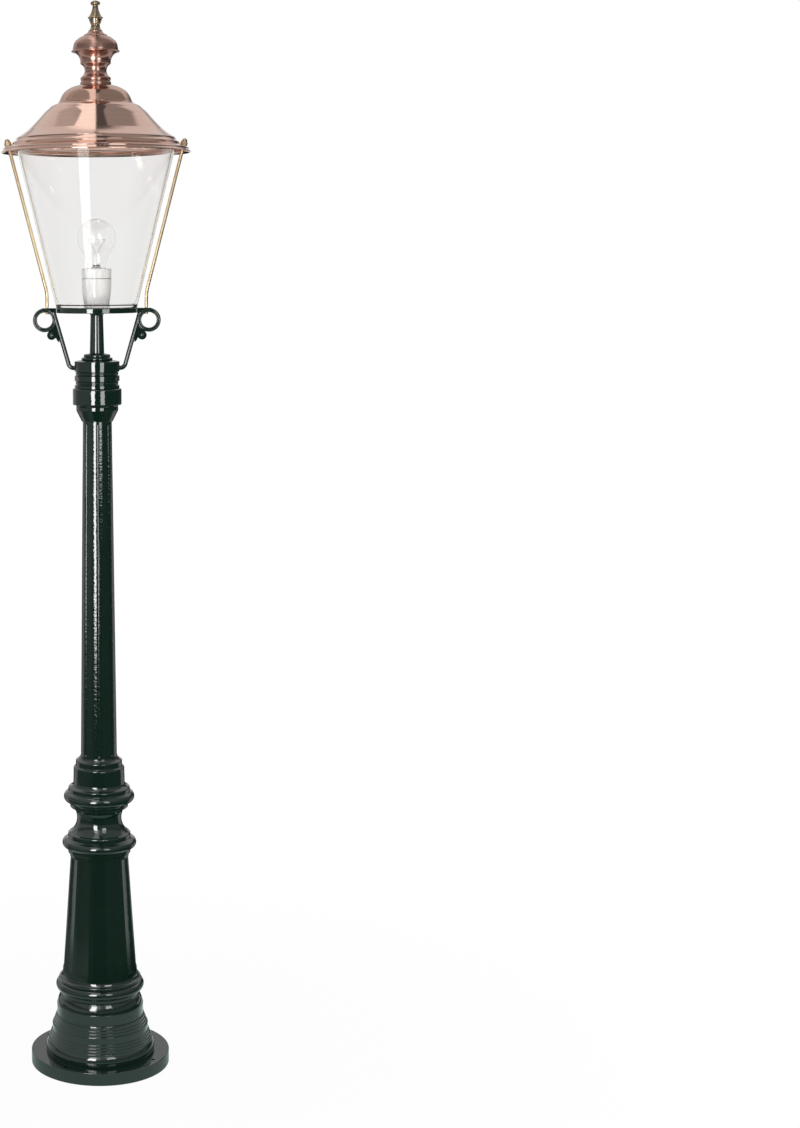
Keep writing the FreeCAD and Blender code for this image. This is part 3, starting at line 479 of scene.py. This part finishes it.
@dataclass(frozen=True)
class ClearGlass(Finish):
    """Polished clear glass that lets light through to what it covers.

    Its shine is the share of the mirror image that is kept where the glass is met head on.
    """

    title: str
    tint: Colour
    index: float
    ripple: float
    shine: float
    pass_tint: Colour = (0.96, 0.965, 0.965)

    def shade(self, sheet: NodeSheet) -> bpy.types.NodeSocket:
        """Adds the glass's nodes.

        Args:
            sheet: The material's nodes.

        Returns:
            The shader socket.
        """
        place = sheet.place()
        wave = sheet.noise(place, 22.0, 2.0)
        haze = sheet.noise(place, 45.0, 4.0, 0.6)
        glass = self.surface(sheet, {
            "Base Color": self.tint,
            "Roughness": haze.ramp(0.6, 0.9) * 0.04,
            "IOR": self.index,
            "Transmission Weight": 1.0,
            "Normal": sheet.bump(wave, self.ripple, 0.002),
        })
        bent = sheet.node("ShaderNodeBsdfRefraction", {}, {
            "Color": tuple(part ** 0.5 for part in self.tint),
            "Roughness": 0.0,
            "IOR": self.index,
        }).outputs[0]
        kept = self.shine + sheet.slant().ramp(0.12, 0.27) * (1.0 - self.shine)
        shadow = sheet.wire(sheet.node("ShaderNodeLightPath"), "Is Shadow Ray")
        clear = sheet.node("ShaderNodeBsdfTransparent", {}, {"Color": self.pass_tint}).outputs[0]
        return sheet.mix(shadow, sheet.mix(kept, bent, glass), clear)


@dataclass(frozen=True)
class DullMatter(Finish):
    """Rubber or fired insulator with a fine grain."""

    title: str
    body: Colour
    worn: Colour
    rough: float

    def shade(self, sheet: NodeSheet) -> bpy.types.NodeSocket:
        """Adds the matter's nodes.

        Args:
            sheet: The material's nodes.

        Returns:
            The shader socket.
        """
        place = sheet.place()
        cloud = sheet.noise(place, 80.0, 4.0)
        grain = sheet.noise(place, 1200.0, 2.0)
        return self.surface(sheet, {
            "Base Color": sheet.blend(cloud.ramp(0.4, 0.8), self.body, self.worn),
            "Roughness": self.rough + grain * 0.1,
            "Normal": sheet.bump(grain, 0.15, 0.0003),
        })


class Finishes(Enum):
    """Every finish of the lamp."""

    GREEN = GlossPaint("fir_green_gloss", 0.045, 0.28)
    SHAFT_GREEN = GlossPaint("fir_green_peel", 0.04, 0.7)
    FINE_GREEN = GlossPaint("fir_green_thin", 0.045, 0.1)
    COPPER = SpunMetal("spun_copper", (0.84, 0.58, 0.48), (0.76, 0.50, 0.41), 0.03, 0.35)
    DOME_COPPER = SpunMetal("dome_copper", (0.68, 0.44, 0.35), (0.58, 0.36, 0.28), 0.06, 0.3)
    TURNED_COPPER = SpunMetal("turned_copper", (0.66, 0.41, 0.34), (0.52, 0.31, 0.25), 0.2, 0.3)
    BRASS = DrawnMetal("golden_brass", (0.70, 0.56, 0.36), (0.60, 0.46, 0.27), 0.26)
    AGED_BRASS = SpunMetal("spire_brass", (0.52, 0.41, 0.29), (0.34, 0.26, 0.17), 0.1, 0.3, 1500.0)
    PORCELAIN = Glaze("white_porcelain", (0.84, 0.83, 0.81), (0.78, 0.77, 0.75))
    LANTERN_GLASS = ClearGlass("lantern_glass", (0.925, 0.922, 0.918), 1.47, 0.01, 0.3)
    BULB_GLASS = ClearGlass("bulb_glass", (0.99, 0.99, 0.985), 1.45, 0.01, 1.0)
    CAP_BRASS = DrawnMetal("pressed_cap_brass", (0.72, 0.63, 0.40), (0.52, 0.44, 0.26), 0.22)
    STEEL = DrawnMetal("turned_steel", (0.62, 0.62, 0.60), (0.45, 0.45, 0.44), 0.25)
    SOLDER = DrawnMetal("soft_solder", (0.60, 0.60, 0.60), (0.44, 0.44, 0.45), 0.4)
    LEAD_WIRE = DrawnMetal("nickel_wire", (0.42, 0.40, 0.37), (0.25, 0.24, 0.22), 0.3)
    TUNGSTEN = DrawnMetal("coiled_tungsten", (0.40, 0.39, 0.38), (0.24, 0.23, 0.23), 0.35)
    SEAL = DullMatter("seal_rubber", (0.025, 0.025, 0.025), (0.05, 0.05, 0.05), 0.7)
    INSULATOR = DullMatter("fired_insulator", (0.012, 0.012, 0.014), (0.03, 0.03, 0.034), 0.3)


def dress(node: str, finish: Finishes) -> None:
    """Gives a carried-over piece its finish.

    Args:
        node: The piece's name.
        finish: The finish it gets.
    """
    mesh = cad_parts[node].data
    mesh.materials.clear()
    mesh.materials.append(finish.value.material())
    LOG.info("%s: %s", node, finish.value.title)


@dataclass
class WirePiece:
    """A piece that a node tree makes along a rule, baked to a plain mesh."""

    name: str
    finish: Finishes
    body: Body
    sizes: dict[str, Any] = field(default_factory=dict)
    crease: float = 42.0

    def sockets(self, tree: bpy.types.NodeTree) -> None:
        """Adds the tree's named inputs.

        Args:
            tree: The tree that gets them.
        """
        kinds = {float: "NodeSocketFloat", int: "NodeSocketInt", tuple: "NodeSocketVector"}
        for title, value in self.sizes.items():
            tree.interface.new_socket(title, in_out="INPUT", socket_type=kinds[type(value)])
        tree.interface.new_socket("Geometry", in_out="OUTPUT", socket_type="NodeSocketGeometry")

    def grow(self, sheet: NodeSheet, given: bpy.types.Node) -> bpy.types.NodeSocket:
        """Returns the geometry socket of the piece."""
        raise NotImplementedError

    def build(self) -> bpy.types.Object:
        """Builds the tree, bakes it and rides the piece on its body.

        Returns:
            The finished piece.
        """
        tree = bpy.data.node_groups.new(self.name + "_tree", "GeometryNodeTree")
        sheet = NodeSheet(tree)
        self.sockets(tree)
        given = sheet.node("NodeGroupInput")
        real = sheet.node("GeometryNodeRealizeInstances", {}, {0: self.grow(sheet, given)})
        smooth = sheet.node("GeometryNodeSetShadeSmooth", {}, {0: real.outputs[0]})
        painted = sheet.node("GeometryNodeSetMaterial", {}, {
            "Geometry": smooth.outputs[0],
            "Material": self.finish.value.material(),
        })
        sheet.node("NodeGroupOutput", {}, {0: painted.outputs[0]})
        seed = bpy.data.objects.new(self.name + "_seed", bpy.data.meshes.new(self.name + "_seed"))
        bpy.context.scene.collection.objects.link(seed)
        modifier = seed.modifiers.new("grow", "NODES")
        modifier.node_group = tree
        for item in tree.interface.items_tree:
            if item.in_out == "INPUT" and item.name in self.sizes:
                modifier[item.identifier] = self.sizes[item.name]
        depsgraph = bpy.context.evaluated_depsgraph_get()
        mesh = bpy.data.meshes.new_from_object(seed.evaluated_get(depsgraph), depsgraph=depsgraph)
        seed.modifiers.remove(modifier)
        bpy.data.objects.remove(seed)
        mesh.name = self.name
        mesh.set_sharp_from_angle(angle=math.radians(self.crease))
        piece = bpy.data.objects.new(self.name, mesh)
        bpy.context.scene.collection.objects.link(piece)
        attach(piece, self.body.value)
        LOG.info("%s: %d faces", self.name, len(mesh.polygons))
        return piece


@dataclass
class FilamentCoil(WirePiece):
    """The fine coil from lead to lead."""

    def grow(self, sheet: NodeSheet, given: bpy.types.Node) -> bpy.types.NodeSocket:
        """Returns a coil round an arc through three points.

        Args:
            sheet: The tree.
            given: The tree's inputs.

        Returns:
            The coil's geometry.
        """
        turns, steps = sheet.wire(given, "Turns"), sheet.wire(given, "Steps")
        arc = sheet.node("GeometryNodeCurveArc", {"mode": "POINTS"}, {
            "Resolution": turns * steps,
            "Start": given.outputs["Left End"],
            "Middle": given.outputs["Middle"],
            "End": given.outputs["Right End"],
        })
        index = sheet.wire(sheet.node("GeometryNodeInputIndex"))
        angle = index * (2 * math.pi) / steps
        normal = sheet.node("GeometryNodeInputNormal").outputs[0]
        tangent = sheet.node("GeometryNodeInputTangent").outputs[0]
        reach = sheet.wire(given, "Coil Radius")
        side = sheet.vector("CROSS_PRODUCT", {0: tangent, 1: normal})
        out = sheet.vector("SCALE", {0: normal, "Scale": angle.cosine() * reach})
        across = sheet.vector("SCALE", {0: side, "Scale": angle.sine() * reach})
        offset = sheet.vector("ADD", {0: out, 1: across})
        coil = sheet.node("GeometryNodeSetPosition", {}, {"Geometry": arc.outputs[0], "Offset": offset})
        profile = sheet.node("GeometryNodeCurvePrimitiveCircle", {}, {
            "Resolution": 6, "Radius": given.outputs["Wire Radius"]})
        return sheet.node("GeometryNodeCurveToMesh", {}, {
            "Curve": coil.outputs[0], "Profile Curve": profile.outputs[0], "Fill Caps": True}).outputs[0]


@dataclass
class RodThread(WirePiece):
    """The thread on the two rod ends that show in the eyes."""

    def grow(self, sheet: NodeSheet, given: bpy.types.Node) -> bpy.types.NodeSocket:
        """Returns a short thread at each rod's foot.

        Args:
            sheet: The tree.
            given: The tree's inputs.

        Returns:
            The threads' geometry.
        """
        ends = sheet.node("GeometryNodeMeshLine", {"mode": "END_POINTS"}, {
            "Count": 2,
            "Start Location": given.outputs["Left Foot"],
            "Offset": given.outputs["Right Foot"],
        })
        helix = sheet.node("GeometryNodeCurveSpiral", {}, {
            "Resolution": 28,
            "Rotations": given.outputs["Turns"],
            "Start Radius": given.outputs["Radius"],
            "End Radius": given.outputs["Radius"],
            "Height": given.outputs["Height"],
        })
        profile = sheet.node("GeometryNodeCurvePrimitiveCircle", {}, {
            "Resolution": 5, "Radius": given.outputs["Ridge"]})
        ridge = sheet.node("GeometryNodeCurveToMesh", {}, {
            "Curve": helix.outputs[0], "Profile Curve": profile.outputs[0], "Fill Caps": True})
        return sheet.node("GeometryNodeInstanceOnPoints", {}, {
            "Points": ends.outputs[0], "Instance": ridge.outputs[0]}).outputs[0]


@dataclass
class GroovedTaper(WirePiece):
    """A tapered tube with round-bottomed grooves along it that end in round heels.

    This share of the rings goes to each end, where the heels need them.
    """

    end_rings: float = 0.35

    def grow(self, sheet: NodeSheet, given: bpy.types.Node) -> bpy.types.NodeSocket:
        """Returns the grooved skin, from a plain tube whose points are moved by rule.

        Args:
            sheet: The tree.
            given: The tree's inputs.

        Returns:
            The skin's geometry.
        """
        size = {name: sheet.wire(given, name) for name in self.sizes}
        tube = sheet.node("GeometryNodeMeshCylinder", {"fill_type": "NONE"}, {
            "Vertices": given.outputs["Around"],
            "Side Segments": given.outputs["Rings"],
            "Radius": 1.0,
            "Depth": 2.0,
        })
        x, y, level = sheet.axes(sheet.wire(sheet.node("GeometryNodeInputPosition")))
        share = level * 0.5 + 0.5
        edge = size["End Length"]
        ends = self.end_rings
        low = (share / ends).clamped() * edge
        middle = ((share - ends) / (1.0 - 2.0 * ends)).clamped() * (size["Length"] - edge * 2.0)
        high = ((share - (1.0 - ends)) / ends).clamped() * edge
        along = low + middle + high
        taper = size["High Radius"] - size["Low Radius"]
        radius = size["Low Radius"] + taper * along / size["Length"]
        bearing = x.math("ARCTAN2", y, x)
        pitch = (2 * math.pi) / size["Grooves"]
        turn = bearing.math("FLOORED_MODULO", bearing + pitch * 0.5, pitch) - pitch * 0.5
        half = size["Groove Width"] * 0.5
        deep = size["Groove Depth"]
        cutter = (half * half + deep * deep) / (deep * 2.0)
        heel = (size["Margin"] - along).larger(along + size["Margin"] - size["Length"]).larger(0.0)
        centre = radius + cutter - deep
        aside = centre * turn.sine()
        sunk = cutter * cutter - heel * heel - aside * aside
        land = sunk.math("LESS_THAN", sunk, 0.0)
        floor = centre * turn.cosine() - sunk.larger(0.0) ** 0.5 + land
        surface = radius.math("SMOOTH_MIN", radius, floor, size["Edge Round"])
        point = sheet.node("ShaderNodeCombineXYZ", {}, {
            0: x * surface, 1: y * surface, 2: along + size["Foot"]})
        return sheet.node("GeometryNodeSetPosition", {}, {
            "Geometry": tube.outputs["Mesh"], "Position": point.outputs[0]}).outputs[0]


@dataclass
class Post:
    """The cast pedestal, the grooved shaft and the capital."""

    mouth: float = 0.512
    top: float = 1.0505
    low_radius: float = 0.0290
    high_radius: float = 0.0229
    grooves: int = 8
    groove_width: float = 0.0044
    groove_depth: float = 0.0013
    groove_margin: float = 0.005
    groove_round: float = 0.00035
    end_length: float = 0.011
    around: int = 768
    rings: int = 72

    def build(self) -> None:
        """Paints the post and grows the skin of its shaft."""
        for node in ("pedestal", "shaft", "capital"):
            dress(node, Finishes.GREEN)
        self.shaft()

    def shaft(self) -> bpy.types.Object:
        """Makes the shaft's outside, from socket to capital, with its grooves at full fineness.

        Returns:
            The shaft's skin, open at both ends.
        """
        piece = GroovedTaper("shaft_skin", Finishes.SHAFT_GREEN, Body.POST, {
            "Around": self.around,
            "Rings": self.rings,
            "Foot": self.mouth,
            "Length": self.top - self.mouth,
            "End Length": self.end_length,
            "Low Radius": self.low_radius,
            "High Radius": self.high_radius,
            "Grooves": float(self.grooves),
            "Groove Width": self.groove_width,
            "Groove Depth": self.groove_depth,
            "Margin": self.groove_margin,
            "Edge Round": self.groove_round,
        }).build()
        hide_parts("shaft")
        return piece


@dataclass
class Yoke:
    """The cast yoke with its clamping screws and the brass tie rods."""

    thread_turns: float = 2.5
    thread_height: float = 0.0017
    ridge: float = 0.00022
    sink: float = 0.0001

    def build(self) -> None:
        """Dresses the yoke and cuts the thread on the rod ends."""
        dress("yoke", Finishes.FINE_GREEN)
        dress("collar_screws", Finishes.STEEL)
        dress("glass_seal", Finishes.SEAL)
        for side in ("right", "left"):
            dress("tie_rod_" + side, Finishes.BRASS)
            dress("dome_nut_" + side, Finishes.BRASS)
        self.thread()

    def thread(self) -> bpy.types.Object:
        """Makes the thread on both rod ends.

        Returns:
            The two threads as one piece.
        """
        feet: list[tuple[float, float, float]] = []
        radius = 0.0
        for side in ("left", "right"):
            low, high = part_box("tie_rod_" + side)
            radius = (high.y - low.y) / 2
            inner = low.x + radius if side == "right" else high.x - radius
            feet.append((inner, 0.0, low.z + self.sink))
        piece = RodThread("rod_thread", Finishes.BRASS, Body.LANTERN, {
            "Left Foot": feet[0],
            "Right Foot": feet[1],
            "Turns": self.thread_turns,
            "Height": self.thread_height,
            "Radius": radius - self.sink,
            "Ridge": self.ridge,
        }).build()
        return piece


@dataclass
class Lantern:
    """The clear glass and the copper roof with chimney and spire."""

    turned: tuple[str, ...] = ("chimney_neck", "chimney_cap")

    def build(self) -> None:
        """Dresses glass, roof, chimney and spire."""
        dress("glass_cone", Finishes.LANTERN_GLASS)
        dress("roof_bell", Finishes.COPPER)
        dress("roof_dome", Finishes.DOME_COPPER)
        for node in self.turned:
            dress(node, Finishes.TURNED_COPPER)
        dress("spire", Finishes.AGED_BRASS)
        dress("chimney_stud", Finishes.STEEL)
        dress("stud_nut", Finishes.STEEL)


@dataclass
class LampHolder:
    """The porcelain lamp holder and its metal."""

    def build(self) -> None:
        """Dresses the holder."""
        for node in ("holder_base", "holder_ring"):
            dress(node, Finishes.PORCELAIN)
        for node in ("holder_shell", "holder_contact"):
            dress(node, Finishes.CAP_BRASS)
        dress("holder_nipple", Finishes.STEEL)


@dataclass
class Bulb:
    """The clear bulb with its wire work."""

    turns: int = 64
    steps: int = 12
    coil_radius: float = 0.00034
    wire_radius: float = 0.00010
    end_inset: float = 0.0004
    middle_inset: float = 0.0005

    def build(self) -> None:
        """Dresses the bulb and winds its filament."""
        for node in ("bulb_glass", "bulb_stem"):
            dress(node, Finishes.BULB_GLASS)
        dress("bulb_cap", Finishes.CAP_BRASS)
        dress("bulb_insulator", Finishes.INSULATOR)
        dress("bulb_contact", Finishes.SOLDER)
        dress("bulb_leads", Finishes.LEAD_WIRE)
        dress("bulb_filament", Finishes.TUNGSTEN)
        self.filament()

    def filament(self) -> bpy.types.Object:
        """Winds the coil that stands for the plain filament.

        Returns:
            The coil.
        """
        low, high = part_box("bulb_filament")
        height = (low.z + high.z) / 2
        inset = self.end_inset
        coil = FilamentCoil("filament_coil", Finishes.TUNGSTEN, Body.BULB, {
            "Left End": (low.x + inset, low.y + inset, height),
            "Middle": (0.0, high.y - self.middle_inset, height),
            "Right End": (high.x - inset, low.y + inset, height),
            "Turns": self.turns,
            "Steps": self.steps,
            "Coil Radius": self.coil_radius,
            "Wire Radius": self.wire_radius,
        }).build()
        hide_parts("bulb_filament")
        return coil


@dataclass(frozen=True)
class Softbox:
    """One upright strip light.

    The bearing is counted from the camera's side, positive to the right, in degrees.
    """

    title: str
    bearing: float
    distance: float
    width: float
    low: float
    high: float
    radiance: float
    gloss_only: bool = True

    def build(self) -> bpy.types.Object:
        """Sets up the light, facing the lamp, for gloss or for matt surfaces.

        Returns:
            The light.
        """
        height = self.high - self.low
        light = bpy.data.lights.new(self.title, "AREA")
        light.shape = "RECTANGLE"
        light.size = self.width
        light.size_y = height
        light.energy = self.radiance * math.pi * self.width * height
        lamp = bpy.data.objects.new(self.title, light)
        angle = math.radians(self.bearing)
        across, away = self.distance * math.sin(angle), self.distance * math.cos(angle)
        lamp.location = (across, -away, self.low + height / 2)
        lamp.rotation_euler = (math.radians(90), 0, angle)
        lamp.visible_camera = False
        lamp.visible_diffuse = not self.gloss_only
        lamp.visible_glossy = self.gloss_only
        lamp.visible_transmission = self.gloss_only
        bpy.context.scene.collection.objects.link(lamp)
        return lamp


@dataclass(frozen=True)
class FloorPaint(Finish):
    """White studio floor that stays white to the eye and keeps a faint shadow.

    Gloss sees it as a dark floor with lit fields, told apart by their distance and bearing from the lamp.
    """

    title: str = "studio_floor"
    glow: float = 0.96
    near_tone: Colour = (0.82, 1.0, 0.92)

    def shade(self, sheet: NodeSheet) -> bpy.types.NodeSocket:
        """Adds the floor's nodes.

        Args:
            sheet: The material's nodes.

        Returns:
            The shader socket.
        """
        place = sheet.place()
        x, y, _ = sheet.axes(place)
        seen, mirror, _ = sheet.rays()
        reach = (x * x + y * y) ** 0.5
        aside, behind = x / reach, y / reach
        # Both rear flanks, the far left, and the ground round the foot.
        flank = aside.size().ramp(0.5, 0.6) * behind.ramp(0.38, 0.46) * 0.5
        left = (0.0 - aside).ramp(0.5, 0.9) * (0.05 + reach.ramp(2.5, 6.0) * 0.15)
        outer = 0.025 + aside.size().ramp(0.37, 0.42) * 0.025 + left
        close = (1.0 - reach.ramp(0.36, 0.5)) * (0.46 + behind.ramp(0.2, 0.7) * 0.4)
        west = (0.0 - aside).ramp(0.45, 0.75) * (1.0 - reach.ramp(0.85, 1.15)) * 0.2
        # What the undersides of the mouldings look down on.
        steep = (1.0 - sheet.slant()).ramp(0.44, 0.56) * reach.ramp(1.5, 1.75) * 0.62
        distant = flank.larger(outer) * reach.ramp(0.5, 0.9)
        bright = close.larger(west).larger(distant).larger(steep)
        cloud = sheet.noise(place, 3.0, 2.0)
        plain = self.surface(sheet, {
            "Base Color": sheet.blend(cloud * 0.2, (0.86, 0.86, 0.86), (0.82, 0.82, 0.82)),
            "Roughness": 0.9,
            "Specular IOR Level": 0.0,
        })
        tone = sheet.blend(reach.ramp(0.4, 1.3), self.near_tone, WHITE)
        white = sheet.node("ShaderNodeEmission", {}, {"Color": WHITE}).outputs[0]
        fields = sheet.node("ShaderNodeEmission", {}, {"Color": sheet.blend(bright, BLACK, tone)}).outputs[0]
        share = self.glow + reach.ramp(0.2, 1.2) * (1.0 - self.glow)
        return sheet.mix(mirror, sheet.mix(seen * share, plain, white), fields)


@dataclass
class Studio:
    """Floor, surroundings, strip lights and camera."""

    floor_half: float = 9.0
    floor_gap: float = 0.0005
    ambient: float = 0.54
    glass_loss: float = 0.6
    focal_px: float = 2013.0
    image_px: tuple[int, int] = (800, 1128)
    axis_px: float = 98.0
    distance: float = 3.16
    height: float = 1.296
    pitch: float = 8.5
    roll: float = -0.28
    sensor: float = 36.0
    sight: float = 60.0
    boxes: tuple[Softbox, ...] = (
        Softbox("strip_left_foot", -19.0, 1.5, 0.43, 0.40, 0.52, 3.5),
        Softbox("strip_left_low", -19.0, 1.5, 0.43, 0.52, 1.3, 10.5),
        Softbox("strip_left_high", -19.0, 1.5, 0.43, 1.3, 2.1, 1.8),
        Softbox("strip_right_low", 25.0, 1.5, 0.50, 0.87, 1.25, 4.0),
        Softbox("strip_right_high", 25.0, 1.5, 0.50, 1.25, 2.1, 1.7),
        Softbox("fill_left", -35.0, 2.4, 1.0, 0.5, 2.3, 2.8, False),
        Softbox("fill_right", 40.0, 2.4, 1.0, 0.5, 2.3, 3.2, False),
    )

    def build(self) -> None:
        """Builds the studio."""
        self.floor()
        self.surroundings()
        for box in self.boxes:
            box.build()
        self.camera()
        bpy.context.scene.view_settings.view_transform = "Standard"

    def floor(self) -> None:
        """Lays the floor just under the foot."""
        half = self.floor_half
        mesh = bpy.data.meshes.new("studio_floor")
        outline = ((-half, -half), (half, -half), (half, half), (-half, half))
        mesh.from_pydata([(x, y, -self.floor_gap) for x, y in outline], [], [(0, 1, 2, 3)])
        mesh.materials.append(FloorPaint().material())
        plane = bpy.data.objects.new("studio_floor", mesh)
        bpy.context.scene.collection.objects.link(plane)

    def surroundings(self) -> None:
        """Sets the plain light from all round, and the room of light fields that gloss sees in its place."""
        world = bpy.data.worlds.new("studio")
        world.use_nodes = True
        bpy.context.scene.world = world
        sheet = NodeSheet(world.node_tree)
        seen, mirror, through = sheet.rays()
        x, y, z = sheet.axes(sheet.wire(sheet.node("ShaderNodeTexCoord"), "Generated"))
        # Behind the lamp: light walls at both sides and a light ceiling.
        back = y.ramp(0.38, 0.52)
        high = z.ramp(0.2, 0.5)
        side = (0.0 - x).ramp(0.2, 0.35) * 0.45 + y.ramp(0.9, 0.96) * 0.7
        rear = side * (1.0 - high) + 0.05 + high * 0.66
        # Before the lamp: a bright panel left of the middle, dimmer ones beside it, a pale level line.
        aside = (0.0 - x).ramp(0.26, 0.275)
        patch = (0.0 - x).ramp(-0.006, 0.006) - aside
        right = x.ramp(0.145, 0.165)
        dim = (x.ramp(-0.006, 0.006) - right) * (1.0 - z.ramp(0.84, 0.93)) * 0.4
        outside = aside * (0.34 + y.ramp(0.0, 0.25) * 0.08) + right * 0.22
        panel = 0.06 + patch * 1.15 + outside + dim
        low = (0.0 - x).ramp(0.2, 0.7) * (1.0 - z.ramp(0.1, 0.35)) * 0.24
        level = (z.ramp(-0.02, 0.02) - z.ramp(0.25, 0.4)) * 0.16
        front = 0.03 + low + level + z.ramp(0.3, 0.55) * panel
        wall = front * (1.0 - back) + rear * back
        # The share of a blend ends at 1, so values up to 2 are written as half a share of 2.
        grey = sheet.blend(wall * 0.5, BLACK, (2.0, 2.0, 2.0))
        soft = (1.0 - through * self.glass_loss) * self.ambient
        plain = sheet.blend(seen.larger(soft), BLACK, WHITE)
        sky = sheet.node("ShaderNodeBackground", {}, {"Color": sheet.blend(mirror, plain, grey)})
        sheet.node("ShaderNodeOutputWorld", {}, {0: sky.outputs[0]})

    def camera(self) -> None:
        """Sets the camera where the photograph was taken from."""
        tall = max(self.image_px)
        data = bpy.data.cameras.new("camera")
        data.sensor_fit = "AUTO"
        data.sensor_width = self.sensor
        data.lens = self.focal_px / tall * data.sensor_width
        data.shift_x = (self.image_px[0] / 2 - self.axis_px) / tall
        data.clip_end = self.sight
        camera = bpy.data.objects.new("camera", data)
        place = Matrix.Translation(Vector((0, -self.distance, self.height)))
        tilt = Matrix.Rotation(math.radians(90 - self.pitch), 4, "X")
        roll = Matrix.Rotation(math.radians(self.roll), 4, "Z")
        camera.matrix_world = place @ tilt @ roll
        bpy.context.scene.collection.objects.link(camera)
        bpy.context.scene.camera = camera


def main() -> None:
    """Builds the lamp's sub-assemblies in order, then the studio, and notes the sizes."""
    logging.basicConfig(level=logging.INFO, format="%(name)s: %(message)s")
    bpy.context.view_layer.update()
    for assembly in (Post(), Yoke(), Lantern(), LampHolder(), Bulb(), Studio()):
        assembly.build()
        LOG.info("built %s", type(assembly).__name__)


if __name__ == "__main__":
    main()
